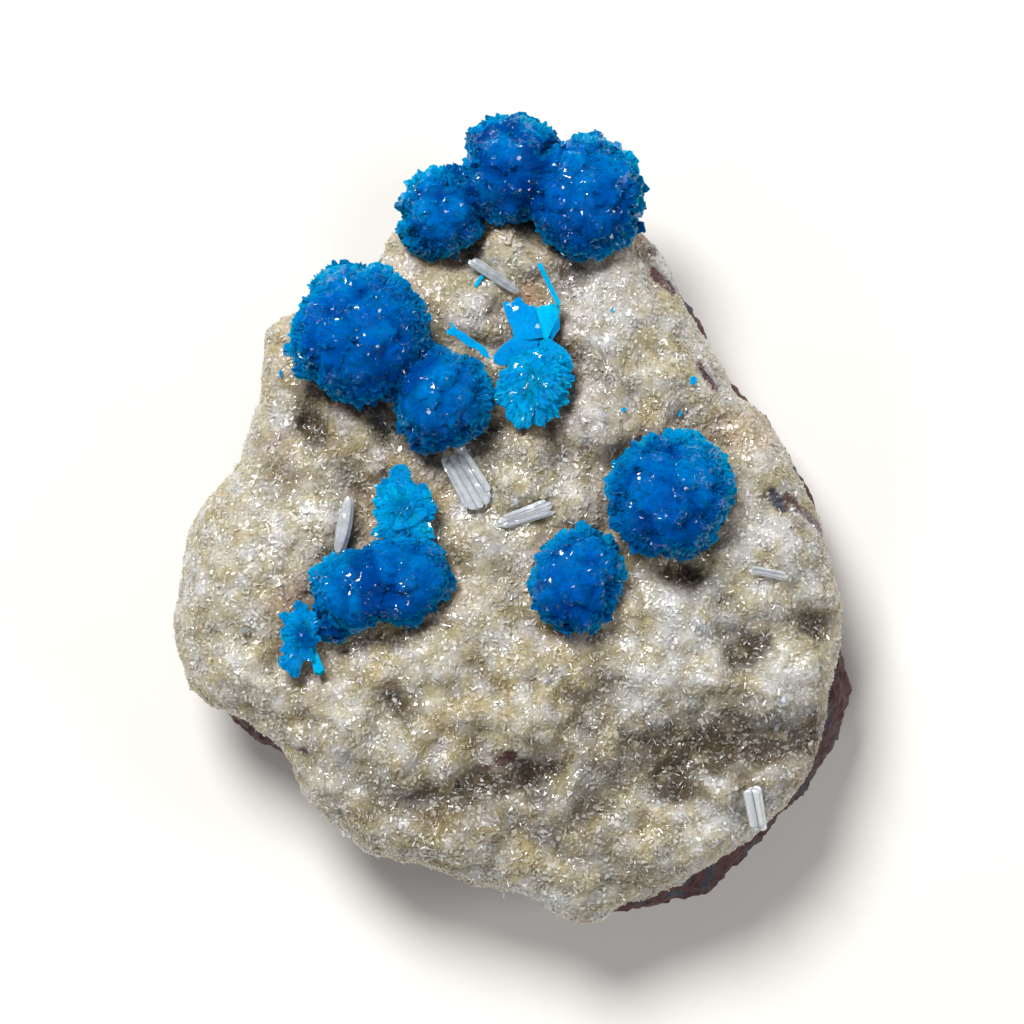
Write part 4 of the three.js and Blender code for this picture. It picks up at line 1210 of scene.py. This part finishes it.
def raise_relief(piece, material, inset, lumps, beads, waves):
    """Gives a piece its relief: lumps, beads and waves are each a spacing and a height."""
    values = {"Inset": inset, "Material": material}
    for name, (spacing, height) in (("Lump", lumps), ("Bead", beads), ("Wave", waves)):
        values[name] = spacing
        values[name + " Height"] = height
    run_tree(piece, relief_tree(), values)


class CAVANSITE_OT_basalt(bpy.types.Operator):
    """Makes the broken basalt under the druse"""

    bl_idname = "cavansite.basalt"
    bl_label = "Basalt"

    def execute(self, context):
        settings = context.scene.cavansite_rock
        material = finish_of("Basalt, weathered and broken", basalt_look, settings)
        rock = grown_from(ROCK_NODE, "basalt_rock", settings.grid, 3)
        height = points_of(rock.data)[:, 2]
        store(rock.data, "open_side", smoothstep(0.2 * MM, 1.2 * MM, height))
        chips, grit = (settings.chip, settings.chip_depth), (settings.grit, settings.grit_depth)
        raise_relief(rock, material, 0.1 * MM, chips, grit, (5 * MM, 0.9 * MM))
        finished(rock, "basalt", ROCK_NODE)
        return {"FINISHED"}


class CAVANSITE_OT_crust(bpy.types.Operator):
    """Makes the knobbly druse and the small crystals that cover it"""

    bl_idname = "cavansite.crust"
    bl_label = "Druse"

    def execute(self, context):
        settings, rock_settings = context.scene.cavansite_crust, context.scene.cavansite_rock
        material = finish_of("Stilbite crust, grown", crust_look, settings, rock_settings)
        crust = grown_from(CRUST_NODE, "druse_crust", settings.grid, 7)
        store(crust.data, "open_side", smoothstep(-0.4, 0.1, normals_of(crust.data)[:, 2]))
        knobs, facets = (settings.knob, settings.knob_height), (settings.bead, settings.bead_height)
        raise_relief(crust, material, settings.inset, knobs, facets, (6 * MM, 0.8 * MM))
        mesh = crust.data
        points, normals = points_of(mesh), normals_of(mesh)
        away = distances(points, tree_of(ROSETTE_NODES), 8 * MM)
        bare = strips(points, BARE_STRIPS)
        # Painted shade mixed with stain: brown in the hollows and along the listed creases, some of which
        # lie in the shade below the rosettes.
        stain_and_shade = 0.45 * hollowness(points, normals) + creases(points, BROWN_STAIN_AND_SHADE_CREASES)
        warmed = patches(points, PEACH_PATCHES) + np.exp(-np.maximum(away, 0) / (1.1 * MM))
        store(mesh, "brown_stain_and_shade", np.clip(stain_and_shade, 0, 1))
        store(mesh, "bare", bare)
        store(mesh, "ochre", patches(points, OCHRE_PATCHES))
        store(mesh, "frost", patches(points, FROST_PATCHES))
        store(mesh, "peach", np.clip(warmed, 0, 1))
        store(mesh, "growth", normals)
        store(mesh, "heading", normals)
        cover = smoothstep(-0.85, -0.35, normals[:, 2]) * (away > -0.6 * MM) * (1 - bare)
        stature = 0.5 + 0.5 * smoothstep(0.1, 0.6, normals[:, 2])
        self.grow_crystals(mesh, settings, cover, stature)
        finished(crust, "druse", CRUST_NODE)
        return {"FINISHED"}

    def grow_crystals(self, ground, settings, cover, stature):
        """Grows the small crystals in four bands from south to north, to keep each piece light."""
        material = finish_of("Stilbite crystals, grown", druse_crystal_look, settings)
        northing = points_of(ground)[:, 1]
        band_of = np.digitize(northing, np.quantile(northing[cover > 0], (0.25, 0.5, 0.75)))
        values = {"Density": settings.density * PER_MM2, "Bias": 3.0, "Keep Ground": False}
        for band, side in enumerate(("south", "middle_south", "middle_north", "north")):
            piece = new_piece("druse_crystals_" + side, ground.copy())
            store(piece.data, "cover", cover * (band_of == band))
            store(piece.data, "stature", stature)
            values.update({"Seed": 11 + band, "Material": material})
            grow(piece, "druse crystals", druse_shapes(), settings, values)
            finished(piece, "druse")


def drawn_back(mesh, solid_name):
    """Draws a rosette's heart in at the listed places, and says which of its points plates will cover
    and how deep the others lie in a notch."""
    points = points_of(mesh)
    covered = np.zeros(len(points), bool)
    notched = np.zeros(len(points))
    for x, y, radius, to_x, to_y, left in COVERED.get(solid_name, []):
        inside = ~covered & (np.hypot(points[:, 0] - x * MM, points[:, 1] - y * MM) < radius * MM)
        to = np.array((to_x * MM, to_y * MM, points[inside, 2].mean() - 0.5 * MM))
        points[inside] = to + left * (points[inside] - to)
        covered |= inside
    for x, y, radius, to_x, to_y, left in NOTCHES.get(solid_name, []):
        away = np.hypot(points[:, 0] - x * MM, points[:, 1] - y * MM) / (radius * MM)
        inside = ~covered & (away < 1)
        to = np.array((to_x * MM, to_y * MM, points[inside, 2].mean() - 0.5 * MM))
        inward = 1 - smoothstep(0.3, 1, away[inside])
        notched[inside] = inward * (left < 1)
        points[inside] = to + (1 - (1 - left) * inward)[:, None] * (points[inside] - to)
    mesh.vertices.foreach_set("co", points.ravel())
    return covered, notched


def from_hearts(points, solid_name):
    """How far each point lies from each of a rosette's hearts, in their radii, the way out from the
    nearest one, and how pale it is there."""
    solid = tree_of([solid_name])
    hearts, sizes, pales = [], [], []
    for x, y, radius, pale in ROSETTES[solid_name]:
        hit = top_of(solid, x, y)
        top = hit.z if hit else points[:, 2].max()
        hearts.append((x * MM, y * MM, top - 0.85 * radius * MM))
        sizes.append(radius * MM)
        pales.append(pale)
    away = np.linalg.norm(points[:, None] - np.array(hearts)[None], axis=2) / np.array(sizes)[None]
    outward = points - np.array(hearts)[away.argmin(1)]
    outward /= np.maximum(np.linalg.norm(outward, axis=1, keepdims=True), 1e-6)
    weights = np.exp(-4 * away)
    weights /= weights.sum(1, keepdims=True)
    return away, outward, weights @ np.array(pales)


def grow_blades(piece, settings, material, density, seed):
    """Grows cavansite blades on a piece, which is kept under them."""
    values = {"Density": density * PER_MM2, "Bias": 1.5, "Keep Ground": True, "Seed": seed}
    grow(piece, "cavansite blades", cavansite_shapes(), settings, {**values, "Material": material})


class CAVANSITE_OT_rosettes(bpy.types.Operator):
    """Grows the cavansite blades on every rosette"""

    bl_idname = "cavansite.rosettes"
    bl_label = "Cavansite rosettes"

    def execute(self, context):
        settings = context.scene.cavansite_blades
        material = cavansite_finish(settings)
        crust = tree_of([CRUST_NODE])
        clumps = (settings.clump, settings.clump_height)
        for seed, name in enumerate(ROSETTE_NODES, 31):
            piece = grown_from(name, name + "_blades", settings.grid, 8)
            store(piece.data, "open_side", smoothstep(-0.9, -0.5, normals_of(piece.data)[:, 2]))
            raise_relief(piece, material, settings.inset, clumps, (0.8 * MM, 0.08 * MM), (3 * MM, 0.3 * MM))
            self.ready(piece.data, name, crust)
            grow_blades(piece, settings, material, settings.density, seed)
            finished(piece, "cavansite", name)
        return {"FINISHED"}

    def ready(self, mesh, name, crust):
        """Draws the heart back and stores where, which way and how long its blades grow, and their blue,
        with painted shade and painted light in it.
        """
        held, notched = drawn_back(mesh, name)
        crease = np.empty(len(notched))
        mesh.attributes["crease"].data.foreach_get("value", crease)
        points, normals = points_of(mesh), normals_of(mesh)
        away, outward, pale = from_hearts(points, name)
        # Painted shade where two hearts meet.
        if away.shape[1] > 1:
            first, second = np.sort(away, axis=1)[:, :2].T
            crease = np.maximum(crease, 1 - smoothstep(0.1, 0.55, second - first))
        northward, upward = outward[:, 1], outward[:, 2]
        rim = smoothstep(0.5, -0.2, upward)
        # Painted shade on the undersides and, more faintly, on the south side.
        under = 0.9 * smoothstep(0.1, -0.35, upward) + 0.35 * smoothstep(0, -0.9, northward)
        buried = (distances(points, crust, 3 * MM) < 0.7 * MM) & (normals[:, 2] < -0.2)
        # The crease mark carries painted shade: creases, notches, meeting hearts and undersides.
        store(mesh, "crease", np.maximum.reduce([crease, notched, under]))
        store(mesh, "heading", 0.55 * normals + 0.6 * outward)
        store(mesh, "growth", 0.55 * normals + 0.6 * outward + rim[:, None] * np.array(UP))
        # Painted light on top of each heart's own paleness: paler towards the north side, and much paler at
        # the rims, where light comes through the thin blades.
        store(mesh, "pale", pale + 0.2 * northward + rim * (0.85 + 0.2 * northward))
        store(mesh, "tip", np.where(held, 0.5, 0.0))
        store(mesh, "tone", np.full(len(points), 0.5))
        store(mesh, "cover", np.where(buried | held, 0.0, 0.7))
        store(mesh, "stature", 1.2 - 0.85 * smoothstep(0.1, 0.7, upward))


class CAVANSITE_OT_plates(bpy.types.Operator):
    """Grows the paler heads, sprays and single blades of cavansite as flat plates"""

    bl_idname = "cavansite.plates"
    bl_label = "Cavansite plates"

    def execute(self, context):
        settings, blade_settings = context.scene.cavansite_plates, context.scene.cavansite_blades
        material = cavansite_finish(blade_settings)
        chance = random.Random(settings.seed)
        for name, head in TRACED_HEADS.items():
            self.lay_head(name, head, material, settings, blade_settings, chance)
        for i, traced_plate in enumerate(TRACED_PLATES):
            self.lay_traced(i, traced_plate, material, settings)
        self.lay_blades(material, settings)
        return {"FINISHED"}

    def lay_head(self, name, head, material, settings, blade_settings, chance):
        """Three toothed domes in each other, smaller and turned, with small blades grown on them."""
        solid_name, pale, dark, apex, drop, traced = head
        top = standing_on(tree_of([solid_name]), *apex) + UP * 0.25 * MM
        arms = [Vector((x * MM - top.x, y * MM - top.y, 0)) for x, y in traced]
        count = len(arms)
        rounded = [sum((arms[(i + j) % count] for j in range(-2, 3)), Vector()) / 5 for i in range(count)]
        blades, pales = Blades(), []
        for layer, (size, turn, lift) in enumerate(HEAD_LAYERS):
            streaks = [pale + settings.streaks * chance.uniform(-1, 1) for arm in arms]
            spin = Matrix.Rotation(turn, 3, "Z")
            rings, reach = [], []
            for inward, under in HEAD_RINGS:
                ring = []
                for i, arm in enumerate(arms):
                    beside = (arms[i - 1].length + arms[(i + 1) % count].length) / 2
                    stands = settings.ridge if arm.length > beside else -settings.ridge
                    fall = (drop * (size * inward) ** 2 + under - lift) * MM - stands * inward
                    arm = arm.lerp(rounded[i], min(1, max(0, 0.97 - inward) / 0.27))
                    ring.append(top + spin @ arm * size * inward - UP * fall)
                rings.append(ring)
                reach += [inward * size] * count
                pales += streaks
            blades.add(rings, reach, layer / 2, UP * 0.12)
        piece = blades.piece(name + "_blades", material)
        mesh = piece.data
        off_rim = 1 - np.array(blades.values["tip"])
        outward = points_of(mesh) - np.array(top)
        outward /= np.maximum(np.linalg.norm(outward, axis=1, keepdims=True), 1e-6)
        normals = normals_of(mesh)
        store(mesh, "pale", pales)
        store(mesh, "crease", dark * smoothstep(0.3, 1, off_rim))
        store(mesh, "heading", normals + 0.6 * outward)
        store(mesh, "cover", smoothstep(0.1, 0.4, normals[:, 2]))
        store(mesh, "stature", 0.32 + 0.35 * smoothstep(0.3, 0, off_rim))
        grow_blades(piece, blade_settings, material, settings.density, settings.seed)
        finished(piece, "cavansite")

    def lay_traced(self, i, traced_plate, material, settings):
        """A flat plate with a traced outline, sloping along a line on the solid under it."""
        solid_name, depth, pale, foot, end, traced = traced_plate
        solid = tree_of([solid_name])
        start, stop = standing_on(solid, *foot), standing_on(solid, *end)
        run = Vector((stop.x - start.x, stop.y - start.y))
        slope = (stop.z - start.z) / run.length_squared
        corners = []
        for x, y in traced:
            place = Vector((x * MM, y * MM))
            rise = slope * (place - start.xy).dot(run)
            corners.append(Vector((place.x, place.y, start.z + rise - depth * settings.thickness)))
        normal = Vector((-slope * run.x, -slope * run.y, 1)).normalized()
        span = (stop - start).length
        reach = [min(1.0, 0.4 + (corner - start).length / span / 2) for corner in corners]
        blades = Blades()
        blades.add_flat(corners, reach, normal, settings.thickness, i % 3 / 2, normal)
        finished(blades.piece(f"traced_plate_{i + 1}", material, pale=pale), "cavansite")

    def lay_blades(self, material, settings):
        """The single blades, all in one piece."""
        blades = Blades()
        for solid_name, foot, end, foot_width, end_width, thickness in SINGLE_BLADES:
            solid = tree_of([solid_name])
            lift = UP * (0.35 * MM if solid_name == CRUST_NODE else -0.3 * thickness * MM)
            start, stop = (standing_on(solid, *place) + lift for place in (foot, end))
            plate(blades, start, stop, foot_width * MM, end_width * MM, thickness * MM)
        finished(blades.piece("cavansite_sprays", material, pale=settings.spray_pale), "cavansite")


class CAVANSITE_OT_clear_blades(bpy.types.Operator):
    """Makes the larger clear stilbite blades as bundles of thin prisms"""

    bl_idname = "cavansite.clear_blades"
    bl_label = "Stilbite blades"

    def execute(self, context):
        settings = context.scene.cavansite_clear
        chance = random.Random(settings.seed)
        for name in BLADE_NODES:
            self.lay_bundle(name, settings, chance)
        return {"FINISHED"}

    def lay_bundle(self, name, settings, chance):
        """Prisms side by side in two layers, each a little tilted and with ends of its own."""
        foot, end, foot_width, end_width, thickness, count, taper, uneven, milky = STILBITE_BLADES[name]
        solid = tree_of([name])
        start, stop = standing_on(solid, *foot), standing_on(solid, *end)
        along = (stop - start).normalized()
        across = along.cross(UP).normalized()
        face = across.cross(along)
        width = (foot_width + end_width) / 2 * MM * 1.5 / count
        blades = Blades()
        for i in range(2 * count):
            lane = (i % count + 0.5 + 0.5 * (i // count)) / (count + 0.5) - 0.5
            level = -face * thickness * MM * (0.3 + 0.35 * (i // count))
            tilted = Matrix.Rotation(chance.uniform(-0.35, 0.35), 3, along) @ face
            near = start + across * lane * foot_width * MM + level + along * chance.uniform(0, uneven * MM)
            far = stop + across * lane * end_width * MM + level - along * chance.uniform(0, uneven * MM)
            prism(blades, near, far, tilted, width, 0.6 * thickness * MM, taper, chance.random())
        piece = blades.piece(name + "_prisms", clear_blade_finish(settings, milky), pale=0.0)
        finished(piece, "stilbite", name)


class CAVANSITE_OT_flecks(bpy.types.Operator):
    """Lays the loose blue flecks and the larger clear flakes on the druse"""

    bl_idname = "cavansite.flecks"
    bl_label = "Flecks"

    def execute(self, context):
        settings = context.scene.cavansite_flecks
        crust = tree_of([CRUST_NODE])
        blue = cavansite_finish(context.scene.cavansite_blades)
        clear = clear_blade_finish(context.scene.cavansite_clear, 0.2)
        for name, listed, material, slot in (
            ("blue_flecks", BLUE_FLECKS, blue, "cavansite"),
            ("clear_flakes", CLEAR_FLECKS, clear, "stilbite"),
        ):
            blades = Blades()
            for x, y, turn, long, wide in listed:
                middle = standing_on(crust, x, y) + UP * settings.lift
                half = Vector((long * MM / 2, 0, 0.06 * MM))
                heading = Matrix.Rotation(math.radians(turn), 3, "Z") @ half
                foot_width = 0.7 * wide * MM
                plate(blades, middle - heading, middle + heading, foot_width, wide * MM, settings.thickness)
            finished(blades.piece(name, material, pale=1.0), slot)
        return {"FINISHED"}


OPERATORS = (
    CAVANSITE_OT_stage,
    CAVANSITE_OT_basalt,
    CAVANSITE_OT_crust,
    CAVANSITE_OT_rosettes,
    CAVANSITE_OT_plates,
    CAVANSITE_OT_clear_blades,
    CAVANSITE_OT_flecks,
)
# The settings kept in the scene, in the order of the operators that they belong to.
SETTINGS = {
    "cavansite_stage": StageSettings,
    "cavansite_rock": RockSettings,
    "cavansite_crust": CrustSettings,
    "cavansite_blades": CavansiteSettings,
    "cavansite_plates": PlateSettings,
    "cavansite_clear": StilbiteSettings,
    "cavansite_flecks": FleckSettings,
}


class CAVANSITE_PT_panel(bpy.types.Panel):
    """Lists the specimen's sizes and colours and the operators that make its pieces"""

    bl_idname = "CAVANSITE_PT_panel"
    bl_label = "Cavansite"
    bl_space_type = "VIEW_3D"
    bl_region_type = "UI"
    bl_category = "Cavansite"

    def draw(self, context):
        for (name, group), operator in zip(SETTINGS.items(), OPERATORS):
            box = self.layout.box()
            box.operator(operator.bl_idname)
            for field in group.__annotations__:
                box.prop(getattr(context.scene, name), field)


CLASSES = (*SETTINGS.values(), *OPERATORS, CAVANSITE_PT_panel)


def register():
    for kind in CLASSES:
        bpy.utils.register_class(kind)
    for name, group in SETTINGS.items():
        setattr(bpy.types.Scene, name, bpy.props.PointerProperty(type=group))


def unregister():
    for name in SETTINGS:
        delattr(bpy.types.Scene, name)
    for kind in reversed(CLASSES):
        bpy.utils.unregister_class(kind)


def main():
    register()
    for operator in OPERATORS:
        group, action = operator.bl_idname.split(".")
        getattr(getattr(bpy.ops, group), action)()


if __name__ == "__main__":
    main()
